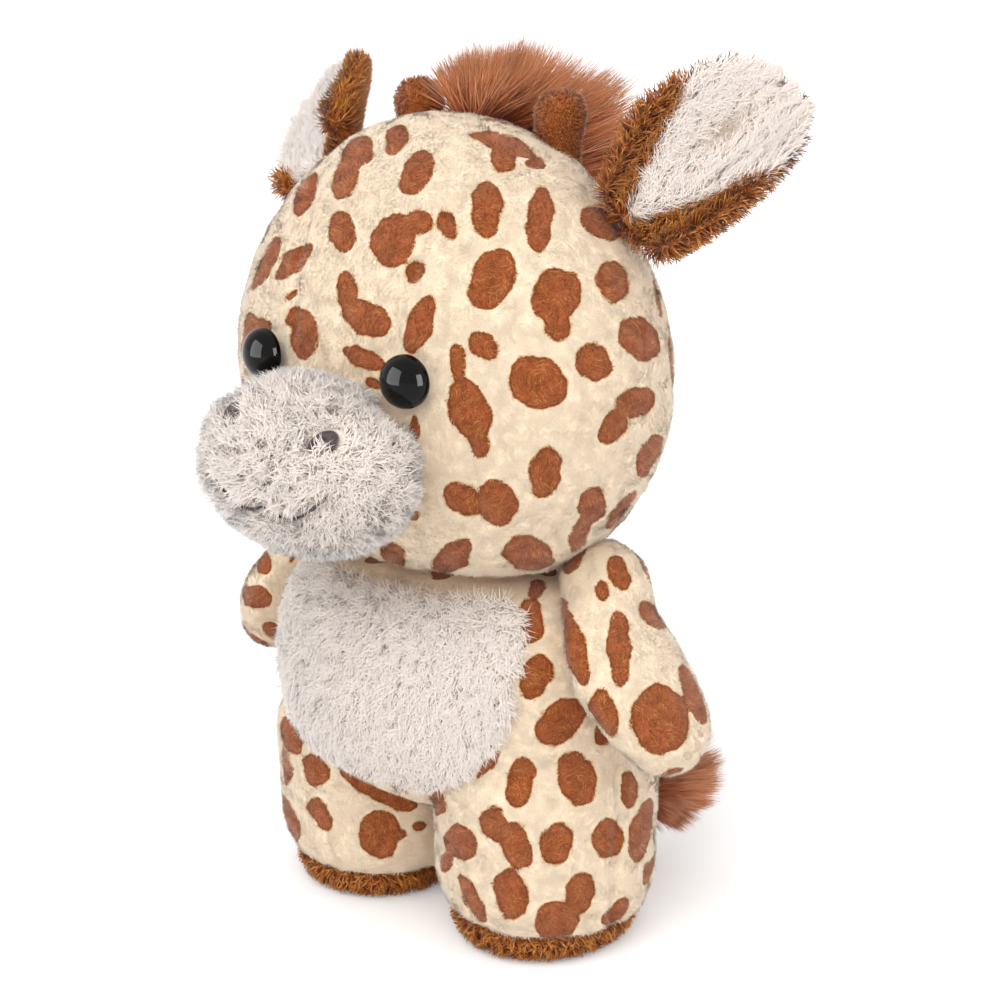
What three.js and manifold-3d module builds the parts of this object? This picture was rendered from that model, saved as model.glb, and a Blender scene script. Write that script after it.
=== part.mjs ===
// Plush giraffe that stands on two stuffed legs. Millimetres, +Z up, soles on Z = 0.
// It looks along -Y and its own left side is +X. Sewn covers are shells round their filling.
import * as THREE from "three";
import { mergeVertices } from "three/addons/utils/BufferGeometryUtils.js";
import Module from "manifold-3d";

const wasm = await Module();
wasm.setup();

// Fabric covers, and the gaps between a cover, its filling and its neighbours
const coverWall = 1.6;
const fillGap = 0.35;
const seamGap = 0.35;
const hollowGap = 0.75;
const overrun = 8;

// Head cover, an oval wider than it is deep, flat where it meets the neck
const headWidth = 114;
const headDepth = 80;
const headHeight = 111;
const headRise = 48.3;
const headForward = 1.5;
const headFullness = 2.5;
const roundFullness = 2;
const headSides = 28;
const headBands = 16;

// Torso, from the crotch to the round neck seam
const torsoWidth = 100;
const torsoDepth = 82;
const torsoBack = 4;
const neckHeight = 94;
const neckRadius = 17.5;
const bodySides = 24;

// Legs and the soft discs that close them
const legSpacing = 53;
const legWidth = 49;
const legDepth = 57;
const legBack = 2.5;
const legTop = 58;
const soleWidth = 45;
const soleDepth = 50;
const soleHeight = 8;

// White shield on the belly
const shieldWidth = 75;
const shieldHeight = 41.5;
const shieldDrop = 4;
const shieldDip = 2.5;
const shieldShoulder = 12;
const shieldCorner = 14;

// Arms, which hang from a ball-shaped root set in a shallow hollow of the shoulder
const armLength = 44;
const armWidth = 30;
const armThickness = 20;
const armRoot = 8.8;
const shoulderDrop = 3.5;
const shoulderOut = 9.6;
const armSplay = 30;
const armForward = 7;
const armMouth = 4.4;
const armLift = 60;
const armLiftSteps = 3;
const armLiftGap = 0.7;
const armSides = 12;
const armRootSteps = 4;
const rootSides = 14;

// Muzzle pad
const muzzleWidth = 54.5;
const muzzleHeight = 42;
const muzzleDepth = 31;
const muzzleDrop = 15.8;
const muzzleForward = 47.3;
const muzzleSides = 22;
const muzzleBands = 10;

// Safety eyes: dome, ribbed shank and star washer
const eyeDiameter = 12;
const eyeDome = 4.6;
const eyeRim = 0.9;
const eyeSpacing = 43;
const eyeRise = 3.2;
const shankDiameter = 3.4;
const shankLength = 9.5;
const ribDepth = 0.3;
const ribCount = 4;
const washerDiameter = 10.5;
const washerThickness = 0.9;
const washerDish = 0.5;
const washerSlit = 0.5;
const washerSlits = 3;
const eyeSides = 14;
const eyeDomeSteps = 6;

// Stitched nostrils and mouth
const nostrilSpacing = 28;
const nostrilRise = 7.1;
const nostrilRadius = 2.3;
const nostrilThread = 0.95;
const nostrilFrom = 198;
const nostrilTo = -18;
const mouthThread = 0.55;
const mouthWidth = 30;
const mouthDrop = 7.9;
const mouthDip = 2.2;
const mouthRise = 3;
const mouthParting = 1.5;
const threadSteps = 6;
const threadSides = 8;

// Velvet horns
const hornHeight = 26;
const hornRadius = 6.1;
const hornSpacing = 42;
const hornBack = 10;
const hornRise = 34.7;
const hornLean = 4;
const hornSides = 12;

// Hair strip along the middle of the head
const maneHeight = 21;
const maneWidth = 18;
const maneLean = 8;
const maneStart = 10;
const maneEnd = 112;
const maneSteps = 12;

// Ears: a shaggy back that rolls over the rim, and a cupped pale front
const earLength = 50;
const earWidth = 29;
const earCupDepth = 8;
const earBackThickness = 4;
const earFrontThickness = 2.4;
const earRollDepth = 4;
const earFrontGap = 0.5;
const earRootOut = 46.5;
const earRootBack = 3.5;
const earRootRise = 35.2;
const earSwing = 12;
const earStations = 10;
const earAcross = 8;

// Tail: a fabric tube with a hair tuft at its end
const tailRadius = 4.2;
const tailLength = 37;
const tailRootRadius = 5.4;
const tailRootHeight = 49;
const tailRootOut = 2.6;
const tuftLength = 25;
const tuftWidth = 22;
const tuftDepth = 16;
const tailSides = 10;

// Shapes given as shares of the sizes above: height, half width and half depth
const torsoShares = [
  [0.33, 0.3, 0.24],
  [0.36, 0.58, 0.5],
  [0.41, 0.8, 0.74],
  [0.48, 0.95, 0.9],
  [0.56, 1, 0.98],
  [0.65, 1, 1],
  [0.76, 0.985, 0.98],
  [0.85, 0.94, 0.93],
  [0.915, 0.85, 0.85],
  [0.965, 0.68, 0.7],
];
const legShares = [
  [0.24, 0.975, 0.96],
  [0.42, 1, 1],
  [0.62, 0.98, 1.06],
  [0.8, 0.9, 1.1],
  [1, 0.66, 0.84],
];
const soleShares = [
  [0, 0.8],
  [0.1, 0.91],
  [0.3, 0.99],
  [0.6, 1],
  [0.9, 0.97],
  [1, 0.92],
];
const armShares = [
  [0.22, 0.77, 0.93],
  [0.45, 0.96, 1],
  [0.66, 1, 0.98],
  [0.83, 0.86, 0.86],
  [0.94, 0.56, 0.6],
  [1, 0.2, 0.22],
];
const armRootTipShare = 0.12;
const hornShares = [
  [0, 0.9],
  [0.45, 0.86],
  [0.62, 0.88],
  [0.78, 1],
  [0.9, 0.92],
  [0.97, 0.66],
  [1, 0.3],
];
// Share of the way from crown to nape, share of the height and share of the width
const maneShares = [
  [0, 0.45, 0.5],
  [0.09, 0.9, 0.85],
  [0.2, 1, 1],
  [0.45, 0.92, 1],
  [0.62, 0.7, 0.85],
  [0.8, 0.45, 0.66],
  [1, 0.2, 0.4],
];
const maneSectionShares = [
  [-0.5, 0],
  [0.5, 0],
  [0.5, 0.35],
  [0.36, 0.8],
  [0.14, 1],
  [-0.14, 1],
  [-0.36, 0.8],
  [-0.5, 0.35],
];
const earWidthShares = [0.74, 0.83, 0.92, 0.98, 1, 0.97, 0.87, 0.66, 0.2];
const earRimShare = 0.76;
const earFlatShare = 0.7;
const earFrontFootShare = 0.3;
const earFrontTipShare = 0.9;
const earFrontMarginShare = 0.04;
const earEdgeShare = 0.3;
const tailPathShares = [
  [0, 0, 0],
  [0.03, 0.1, -0.12],
  [0.12, 0.14, -0.42],
  [0.34, 0.12, -0.7],
  [0.56, 0.08, -0.92],
];
const tuftShares = [
  [0, 0.3],
  [0.15, 0.55],
  [0.4, 0.85],
  [0.65, 1],
  [0.85, 0.86],
  [0.96, 0.5],
  [1, 0.2],
];

const spottedFabric = new THREE.MeshStandardMaterial({ color: 0xf1dfbf, roughness: 0.95, metalness: 0 });
const whitePile = new THREE.MeshStandardMaterial({ color: 0xf0e6e1, roughness: 0.95, metalness: 0 });
const brownPile = new THREE.MeshStandardMaterial({ color: 0x9c5b22, roughness: 0.95, metalness: 0 });
const hornVelvet = new THREE.MeshStandardMaterial({ color: 0x7d4321, roughness: 0.9, metalness: 0 });
const tanHair = new THREE.MeshStandardMaterial({ color: 0xb9825f, roughness: 0.85, metalness: 0 });
const blackGloss = new THREE.MeshStandardMaterial({ color: 0x0b0a0a, roughness: 0.08, metalness: 0 });
const whitePlastic = new THREE.MeshStandardMaterial({ color: 0xe9e8e2, roughness: 0.5, metalness: 0 });
const darkThread = new THREE.MeshStandardMaterial({ color: 0x33191c, roughness: 0.7, metalness: 0 });
const filling = new THREE.MeshStandardMaterial({ color: 0xf6f5f2, roughness: 1, metalness: 0 });

const vector = (x, y, z) => new THREE.Vector3(x, y, z);

// A closed geometry as a solid for joining and cutting, with its faces turned outwards
function solid(source) {
  const geometry = source.clone();
  geometry.deleteAttribute("normal");
  geometry.deleteAttribute("uv");
  const merged = mergeVertices(geometry);
  const position = merged.getAttribute("position");
  const corner = (index) => new THREE.Vector3().fromBufferAttribute(position, index);
  const triangles = [];
  let volume = 0;
  for (let i = 0; i < merged.index.count; i += 3) {
    const [a, b, c] = [0, 1, 2].map((step) => merged.index.getX(i + step));
    if (a === b || b === c || c === a) continue;
    triangles.push([a, b, c]);
    volume += corner(a).dot(corner(b).cross(corner(c)));
  }
  const order = volume < 0 ? ([a, b, c]) => [a, c, b] : (triangle) => triangle;
  const triVerts = new Uint32Array(triangles.flatMap(order));
  const vertProperties = new Float32Array(position.array);
  return new wasm.Manifold(new wasm.Mesh({ numProp: 3, vertProperties, triVerts }));
}

function geometryOf(manifold) {
  const mesh = manifold.getMesh();
  const geometry = new THREE.BufferGeometry();
  geometry.setAttribute("position", new THREE.BufferAttribute(new Float32Array(mesh.vertProperties), 3));
  geometry.setIndex(new THREE.BufferAttribute(new Uint32Array(mesh.triVerts), 1));
  geometry.computeVertexNormals();
  return geometry;
}

function mirrored(manifold) {
  return solid(geometryOf(manifold).scale(-1, 1, 1));
}

// A closed skin through rings of points that run the same way round, capped at both ends
function loft(rings) {
  const count = rings[0].length;
  const middle = (ring) => ring.reduce((sum, point) => sum.add(point), vector(0, 0, 0)).divideScalar(count);
  const points = [...rings.flat(), middle(rings[0]), middle(rings.at(-1))];
  const low = rings.length * count;
  const high = low + 1;
  const last = low - count;
  const index = [];
  for (let j = 0; j < count; j++) {
    const k = (j + 1) % count;
    for (let start = 0; start < last; start += count) {
      index.push(start + j, start + k, start + count + k, start + j, start + count + k, start + count + j);
    }
    index.push(low, k, j, high, last + j, last + k);
  }
  const geometry = new THREE.BufferGeometry().setFromPoints(points);
  geometry.setIndex(index);
  return geometry;
}

// A column of a table of shares, read between its rows
function shareAt(table, along, column) {
  const next = table.findIndex((row) => row[0] >= along);
  if (next <= 0) return table[0][column];
  const [before, after] = [table[next - 1], table[next]];
  const part = (along - before[0]) / (after[0] - before[0]);
  return THREE.MathUtils.lerp(before[column], after[column], part);
}

function ovalRing(middle, halfWidth, halfDepth, sides) {
  return Array.from({ length: sides }, (_, i) => {
    const angle = (2 * Math.PI * i) / sides;
    return vector(middle.x + halfWidth * Math.cos(angle), middle.y + halfDepth * Math.sin(angle), middle.z);
  });
}

// An oval; a fullness above 2 squares its plan a little, as a face with round cheeks has it
function ellipsoid(middle, radii, sides, bands, fullness = roundFullness) {
  const geometry = new THREE.SphereGeometry(1, sides, bands).rotateX(Math.PI / 2);
  const position = geometry.getAttribute("position");
  for (let i = 0; i < position.count; i++) {
    const [x, y] = [position.getX(i), position.getY(i)];
    const round = Math.hypot(x, y);
    const square = (Math.abs(x) ** fullness + Math.abs(y) ** fullness) ** (1 / fullness);
    const stretch = square > 0 ? round / square : 1;
    position.setXY(i, x * stretch, y * stretch);
  }
  geometry.scale(radii.x, radii.y, radii.z).translate(middle.x, middle.y, middle.z);
  return solid(geometry);
}

// A round rod along an axis through a point, from one distance to another
function rod(point, axis, radius, from, to, sides) {
  const geometry = new THREE.CylinderGeometry(radius, radius, to - from, sides);
  geometry.translate(0, (from + to) / 2, 0);
  geometry.applyQuaternion(new THREE.Quaternion().setFromUnitVectors(vector(0, 1, 0), axis));
  geometry.translate(point.x, point.y, point.z);
  return solid(geometry);
}

// A block that fills everything below a height
function slabBelow(height) {
  const size = headWidth + headDepth;
  return solid(new THREE.BoxGeometry(size, size, size).translate(0, 0, height - size / 2));
}

function tube(points, radius, sides) {
  const curve = new THREE.CatmullRomCurve3(points);
  const section = new THREE.Shape();
  for (let i = 0; i < sides; i++) {
    const angle = (2 * Math.PI * i) / sides;
    const point = [radius * Math.cos(angle), radius * Math.sin(angle)];
    if (i === 0) section.moveTo(...point);
    else section.lineTo(...point);
  }
  const steps = 2 * (points.length - 1);
  return solid(new THREE.ExtrudeGeometry(section, { steps, bevelEnabled: false, extrudePath: curve }));
}

const giraffe = new THREE.Group();

function node(name, shape, material, parent = giraffe) {
  const mesh = new THREE.Mesh(shape.isBufferGeometry ? shape : geometryOf(shape), material);
  mesh.name = name;
  parent.add(mesh);
  return mesh;
}

// Head: every piece on it is set against this oval
const headMiddle = neckHeight + headRise;
const headCentre = vector(0, -headForward, headMiddle);
const headRadii = vector(headWidth, headDepth, headHeight).divideScalar(2);
const headBottom = neckHeight + seamGap;

function headOval(grow) {
  return ellipsoid(headCentre, headRadii.clone().addScalar(grow), headSides, headBands, headFullness);
}

// The point of an oval's front at a distance from the middle line and a height, and the way it faces
function frontSeat(centre, radii, fullness, x, z) {
  const across = Math.abs(x - centre.x) / radii.x;
  const up = (z - centre.z) / radii.z;
  const round = Math.sqrt(1 - up * up);
  const ahead = (round ** fullness - across ** fullness) ** (1 / fullness);
  const point = vector(x, centre.y - radii.y * ahead, z);
  const slope = fullness - 1;
  const ease = round ** (2 - fullness);
  const sideways = (Math.sign(x - centre.x) * ease * across ** slope) / radii.x;
  const normal = vector(sideways, (-ease * ahead ** slope) / radii.y, up / radii.z).normalize();
  return { point, normal };
}

// Safety eye about its own Y axis, its flat back at 0
const eyeRadius = eyeDiameter / 2;
const shankRadius = shankDiameter / 2;
const washerRadius = washerDiameter / 2;
const washerHole = shankRadius + ribDepth + seamGap;
const eyeSag = eyeRadius ** 2 / headDepth;
const eyeLift = seamGap + eyeSag / 4;
const washerDepth = coverWall + eyeLift + seamGap + eyeSag;

function eyeProfile() {
  const profile = [[0, -shankLength], [shankRadius / 2, -shankLength]];
  const ribPitch = (shankLength - washerDepth / 2) / (ribCount + 1);
  for (let i = 0; i < ribCount; i++) {
    const start = -shankLength + ribPitch * (i + 1 / 2);
    profile.push([shankRadius, start], [shankRadius + ribDepth, start + ribPitch / 2]);
  }
  profile.push([shankRadius, -washerDepth / 2], [shankRadius, 0]);
  profile.push([eyeRadius - eyeRim / 2, 0], [eyeRadius, eyeRim / 2], [eyeRadius, eyeRim]);
  for (let i = 1; i <= eyeDomeSteps; i++) {
    const angle = (Math.PI / 2) * (i / eyeDomeSteps);
    profile.push([eyeRadius * Math.cos(angle), eyeRim + eyeDome * Math.sin(angle)]);
  }
  profile.at(-1)[0] = 0;
  return profile.map(([radius, along]) => new THREE.Vector2(radius, along));
}

// Star washer: a dished ring with slits that let its teeth spring over the ribs
function starWasher() {
  const half = washerThickness / 2;
  const profile = [
    [washerHole, washerDish - half],
    [washerRadius, -half],
    [washerRadius, half],
    [washerHole, washerDish + half],
    [washerHole, washerDish - half],
  ].map(([radius, along]) => new THREE.Vector2(radius, -along));
  let washer = solid(new THREE.LatheGeometry(profile, eyeSides));
  const slitLength = washerHole + washerRadius;
  for (let i = 0; i < washerSlits; i++) {
    const slit = new THREE.BoxGeometry(slitLength, overrun, washerSlit);
    slit.rotateY((Math.PI * i) / washerSlits);
    washer = washer.subtract(solid(slit));
  }
  return washer;
}

const sideNames = [["left", 1], ["right", -1]];
const eyeSeats = sideNames.map(([, side]) => (
  frontSeat(headCentre, headRadii, headFullness, (side * eyeSpacing) / 2, headMiddle + eyeRise)
));
const neckLine = vector(0, torsoBack, 0);
const upwards = vector(0, 0, 1);

let headCover = headOval(0).subtract(slabBelow(headBottom));
headCover = headCover.subtract(headOval(-coverWall).subtract(slabBelow(headBottom + coverWall)));
headCover = headCover.subtract(rod(neckLine, upwards, neckRadius - coverWall, 0, headMiddle, bodySides));
let headFill = headOval(-coverWall - fillGap).subtract(slabBelow(headBottom + coverWall + fillGap));
const pocketRadius = washerRadius + fillGap;
const pocketFloor = -shankLength - fillGap;
for (const { point, normal } of eyeSeats) {
  headCover = headCover.subtract(rod(point, normal, washerHole, -overrun, overrun, eyeSides));
  headFill = headFill.subtract(rod(point, normal, pocketRadius, pocketFloor, overrun, eyeSides));
}
node("head_skin", headCover, spottedFabric);
node("head_stuffing", headFill, filling);

const eyeShape = geometryOf(solid(new THREE.LatheGeometry(eyeProfile(), eyeSides)));
const washerShape = geometryOf(starWasher());
sideNames.forEach(([name], i) => {
  const seat = eyeSeats[i];
  const socket = new THREE.Group();
  socket.position.copy(seat.point);
  socket.quaternion.setFromUnitVectors(vector(0, 1, 0), seat.normal);
  const eye = node(`eye_${name}`, eyeShape, blackGloss, socket);
  eye.position.y = eyeLift;
  const washer = node(`eye_washer_${name}`, washerShape, whitePlastic, socket);
  washer.position.y = -washerDepth;
  giraffe.add(socket);
});

// Muzzle pad, sewn on the face all round its open back
const muzzleCentre = vector(0, -muzzleForward, headMiddle - muzzleDrop);
const muzzleRadii = vector(muzzleWidth, muzzleDepth, muzzleHeight).divideScalar(2);
const muzzleOval = (grow) => (
  ellipsoid(muzzleCentre, muzzleRadii.clone().addScalar(grow), muzzleSides, muzzleBands)
);
const headClear = headOval(seamGap);
const muzzleOutside = muzzleOval(0).subtract(headClear);
node("muzzle_skin", muzzleOutside.subtract(muzzleOval(-coverWall)), whitePile);
node("muzzle_stuffing", muzzleOval(-coverWall - fillGap).subtract(headClear), filling);

// Threads lie on the pad, a seam gap clear of it
function threadOnMuzzle(places, radius, sides) {
  const points = places.map(([x, z]) => {
    const seat = frontSeat(muzzleCentre, muzzleRadii, roundFullness, x, z);
    return seat.point.addScaledVector(seat.normal, seamGap + radius);
  });
  return tube(points, radius, sides);
}

const nostrilArc = Array.from({ length: threadSteps + 1 }, (_, i) => {
  const angle = THREE.MathUtils.degToRad(THREE.MathUtils.lerp(nostrilFrom, nostrilTo, i / threadSteps));
  const x = nostrilSpacing / 2 + nostrilRadius * Math.cos(angle);
  return [x, muzzleCentre.z + nostrilRise + nostrilRadius * Math.sin(angle)];
});
const mouthArc = Array.from({ length: threadSteps + 1 }, (_, i) => {
  const along = i / threadSteps;
  const x = THREE.MathUtils.lerp(mouthParting, mouthWidth, along) / 2;
  return [x, muzzleCentre.z - mouthDrop - mouthDip * Math.sin(Math.PI * along) + mouthRise * along ** 2];
});
const nostril = threadOnMuzzle(nostrilArc, nostrilThread, threadSides);
const mouth = threadOnMuzzle(mouthArc, mouthThread, threadSides);
node("nostril_left", nostril, darkThread);
node("nostril_right", mirrored(nostril), darkThread);
node("mouth_left", mouth, darkThread);
node("mouth_right", mirrored(mouth), darkThread);

// Horns stand on the crown, open below, each round its own filling
function hornForm(inset) {
  const rings = hornShares.map(([up, wide]) => {
    const radius = hornRadius * wide - inset;
    const height = up === 0 ? -overrun : (hornHeight - inset) * up;
    return ovalRing(vector(0, 0, height), radius, radius, hornSides);
  });
  const geometry = loft(rings);
  geometry.rotateY(THREE.MathUtils.degToRad(hornLean));
  geometry.translate(hornSpacing / 2, hornBack, headMiddle + hornRise);
  return solid(geometry);
}
const hornOutside = hornForm(0).subtract(headClear);
const hornCover = hornOutside.subtract(hornForm(coverWall));
const hornFill = hornForm(coverWall + fillGap).subtract(headClear);
node("horn_left", hornCover, hornVelvet);
node("horn_right", mirrored(hornCover), hornVelvet);
node("horn_stuffing_left", hornFill, filling);
node("horn_stuffing_right", mirrored(hornFill), filling);

// Hair strip: sections stand square to the head along its middle line, crown to nape
function maneForm() {
  const rings = [];
  for (let i = 0; i <= maneSteps; i++) {
    const along = i / maneSteps;
    const angle = THREE.MathUtils.degToRad(THREE.MathUtils.lerp(maneStart, maneEnd, along));
    const foot = vector(0, Math.sin(angle), Math.cos(angle)).multiply(headRadii).add(headCentre);
    const leaning = angle + THREE.MathUtils.degToRad(maneLean);
    const outwards = vector(0, Math.sin(leaning), Math.cos(leaning));
    const height = maneHeight * shareAt(maneShares, along, 1);
    const width = maneWidth * shareAt(maneShares, along, 2);
    rings.push(maneSectionShares.map(([across, up]) => {
      const lift = up === 0 ? -coverWall : height * up;
      return foot.clone().addScaledVector(outwards, lift).add(vector(width * across, 0, 0));
    }));
  }
  return solid(loft(rings));
}
node("mane", maneForm().subtract(headClear), tanHair);

// Ears in their own frame: Z runs up the ear, -Y is the cupped front, the root is at 0
const earHalf = earWidth / 2;
const cupAt = (x) => -earCupDepth * (x / earHalf) ** 2;

function earLeaf(backAt, frontAt, halfWidthAt, start, end) {
  const rings = [];
  for (let i = 0; i < earStations; i++) {
    const up = THREE.MathUtils.lerp(start, end, i / (earStations - 1));
    const ring = [];
    for (let j = 0; j <= earAcross; j++) {
      const across = 1 - (2 * j) / earAcross;
      const x = halfWidthAt(up) * across;
      ring.push(vector(x, backAt(x, across), earLength * up));
    }
    for (let j = 0; j <= earAcross; j++) {
      const across = -1 + (2 * j) / earAcross;
      const x = halfWidthAt(up) * across;
      ring.push(vector(x, frontAt(x, across, up), earLength * up));
    }
    rings.push(ring);
  }
  return loft(rings);
}

function earHalfAt(up) {
  const place = up * (earWidthShares.length - 1);
  const low = Math.min(Math.floor(place), earWidthShares.length - 2);
  return earHalf * THREE.MathUtils.lerp(earWidthShares[low], earWidthShares[low + 1], place - low);
}

// Thick in the middle and thin at the rim; towards the root the rim rolls round the pale front
const arch = (across) => Math.sqrt(1 - (1 - earEdgeShare ** 2) * across * across);
const rollAt = (across, up) => (
  Math.abs(across) > earRimShare ? earRollDepth * Math.max(0, 1 - up / earFlatShare) : 0
);
const earBack = earLeaf(
  (x, across) => cupAt(x) + earBackThickness * arch(across),
  (x, across, up) => cupAt(x) - rollAt(across, up),
  earHalfAt, 0, 1,
);
const frontShareAt = (up) => THREE.MathUtils.lerp(earFrontFootShare, earFrontTipShare, up);
const earFront = earLeaf(
  (x) => cupAt(x) + earFrontGap,
  (x, across) => cupAt(x) - earFrontGap - earFrontThickness * arch(across),
  (up) => earHalfAt(up) * frontShareAt(up), earFrontMarginShare, 1 - earFrontMarginShare,
);
const earUp = vector(0.447, 0.7, 0.559).normalize();
const earFacing = vector(0.45, -0.8, 0.4);
earFacing.addScaledVector(earUp, -earFacing.dot(earUp)).normalize();
const earBasis = new THREE.Matrix4().makeBasis(
  earFacing.clone().negate().cross(earUp), earFacing.clone().negate(), earUp,
);
earBasis.setPosition(earRootOut, earRootBack, headMiddle + earRootRise);

// The foot of the ear is cut back so that it clears the head as it flexes about its sewn root
const earFoot = [-1, 0, 1].map((turn) => {
  const flex = new THREE.Matrix4().makeRotationX(THREE.MathUtils.degToRad(turn * earSwing));
  const aboutRoot = earBasis.clone().multiply(flex).multiply(earBasis.clone().invert());
  return solid(geometryOf(headClear).applyMatrix4(aboutRoot));
}).reduce((joined, turned) => joined.add(turned));
const inEarPlace = (leaf) => solid(leaf.clone().applyMatrix4(earBasis)).subtract(earFoot);
const earBackPlaced = inEarPlace(earBack);
const earSeat = inEarPlace(earBack.clone().translate(0, -earFrontGap, 0));
const earFrontPlaced = inEarPlace(earFront).subtract(earSeat);
node("ear_back_left", earBackPlaced, brownPile);
node("ear_back_right", mirrored(earBackPlaced), brownPile);
node("ear_front_left", earFrontPlaced, whitePile);
node("ear_front_right", mirrored(earFrontPlaced), whitePile);

// Torso and legs as one form, drawn in all round by an inset for cavity and filling
const torsoCentre = (height) => vector(0, torsoBack, height);

function bodyForm(inset, legBottom, neckTop) {
  const torsoRings = torsoShares.map(([up, wide, deep], i) => ovalRing(
    torsoCentre(neckHeight * up + (i === 0 ? inset : 0)),
    (torsoWidth / 2) * wide - inset, (torsoDepth / 2) * deep - inset, bodySides,
  ));
  const neck = neckRadius - inset;
  torsoRings.push(ovalRing(torsoCentre(Math.min(neckHeight, neckTop)), neck, neck, bodySides));
  if (neckTop > neckHeight) torsoRings.push(ovalRing(torsoCentre(neckTop), neck, neck, bodySides));
  let form = solid(loft(torsoRings));
  for (const side of [-1, 1]) {
    const foot = vector((side * legSpacing) / 2, legBack, legBottom);
    const rings = [ovalRing(foot, soleWidth / 2 - inset, soleDepth / 2 - inset, bodySides)];
    for (const [up, wide, deep] of legShares) {
      const middle = vector(foot.x, foot.y, legTop * up);
      rings.push(ovalRing(middle, (legWidth / 2) * wide - inset, (legDepth / 2) * deep - inset, bodySides));
    }
    form = form.add(solid(loft(rings)));
  }
  return form;
}

// Shallow hollows in the cover follow the ball-shaped roots of the arms and the tail
const torsoHalf = (height, column, size) => (size / 2) * shareAt(torsoShares, height / neckHeight, column);
const shoulderHeight = neckHeight - shoulderDrop;
const shoulderReach = torsoHalf(shoulderHeight, 1, torsoWidth) + shoulderOut;
const armPivots = sideNames.map(([, side]) => vector(side * shoulderReach, torsoBack, shoulderHeight));
const tailReach = torsoBack + torsoHalf(tailRootHeight, 2, torsoDepth) + tailRootOut;
const tailRoot = vector(0, tailReach, tailRootHeight);

function ball(middle, radius) {
  return ellipsoid(middle, vector(radius, radius, radius), rootSides, rootSides / 2);
}

function withHollows(form, grow) {
  const hollows = armPivots.map((pivot) => ball(pivot, armRoot + grow));
  hollows.push(ball(tailRoot, tailRootRadius + grow));
  return hollows.reduce((rest, hollow) => rest.subtract(hollow), form);
}

const legBottom = soleHeight + seamGap;
const bodyOutside = withHollows(bodyForm(0, legBottom, neckHeight), hollowGap);
const bodyCavity = withHollows(
  bodyForm(coverWall, soleHeight - overrun, neckHeight + overrun), hollowGap + coverWall,
);
const bodyFill = withHollows(
  bodyForm(coverWall + fillGap, legBottom, neckHeight - fillGap), hollowGap + coverWall + fillGap,
);
const bodyCover = bodyOutside.subtract(bodyCavity);

// White shield let into the front of the cover, drawn as one half outline and its mirror image
function shieldPrism(shrink) {
  const half = shieldWidth / 2 - shrink;
  const top = neckHeight - shieldDrop - shrink;
  const foot = top + 2 * shrink - shieldHeight;
  const outline = new THREE.Shape();
  outline.moveTo(0, top);
  outline.lineTo(half - shieldShoulder, top);
  outline.quadraticCurveTo(half, top, half, top - shieldShoulder);
  outline.lineTo(half, foot + shieldCorner);
  outline.quadraticCurveTo(half, foot, half - shieldCorner, foot);
  outline.quadraticCurveTo(half / 2, foot - shieldDip, 0, foot - shieldDip);
  outline.quadraticCurveTo(-half / 2, foot - shieldDip, shieldCorner - half, foot);
  outline.quadraticCurveTo(-half, foot, -half, foot + shieldCorner);
  outline.lineTo(-half, top - shieldShoulder);
  outline.quadraticCurveTo(-half, top, shieldShoulder - half, top);
  outline.closePath();
  const depth = torsoDepth / 2;
  const geometry = new THREE.ExtrudeGeometry(outline, { depth, bevelEnabled: false, curveSegments: 6 });
  return solid(geometry.rotateX(Math.PI / 2));
}
node("body_skin", bodyCover.subtract(shieldPrism(0)), spottedFabric);
node("belly_panel", bodyCover.intersect(shieldPrism(seamGap)), whitePile);
node("body_stuffing", bodyFill, filling);

// Soles, flat where they stand
const soleRings = soleShares.map(([up, wide]) => ovalRing(
  vector(legSpacing / 2, legBack, soleHeight * up), (soleWidth / 2) * wide, (soleDepth / 2) * wide, bodySides,
));
const sole = solid(loft(soleRings));
node("sole_left", sole, brownPile);
node("sole_right", mirrored(sole), brownPile);

// Arms in their own frame: the root ball is at 0 and Z runs to the hand
function armForm(inset) {
  const root = armRoot - inset;
  const rings = [];
  for (let i = 0; i <= armRootSteps; i++) {
    const angle = (Math.PI / 2) * (i / armRootSteps);
    const radius = root * Math.max(Math.sin(angle), armRootTipShare);
    rings.push(ovalRing(vector(0, 0, -root * Math.cos(angle)), radius, radius, armSides));
  }
  for (const [along, wide, thick] of armShares) {
    const middle = vector(0, 0, (armLength - inset) * along);
    const halfThick = Math.max((armThickness / 2) * thick - inset, inset / 2);
    const halfWide = Math.max((armWidth / 2) * wide - inset, inset / 2);
    rings.push(ovalRing(middle, halfThick, halfWide, armSides));
  }
  return loft(rings);
}
const armPose = new THREE.Matrix4().makeRotationFromEuler(new THREE.Euler(
  Math.PI - THREE.MathUtils.degToRad(armForward), -THREE.MathUtils.degToRad(armSplay), 0, "YXZ",
)).setPosition(armPivots[0]);
const inArmPlace = (geometry) => solid(geometry.applyMatrix4(armPose));
const armMouthRod = rod(armPivots[0], vector(-1, 0, 0), armMouth, armRoot / 2, armRoot + overrun, armSides);
const armHollow = inArmPlace(armForm(coverWall)).add(armMouthRod);

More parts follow.
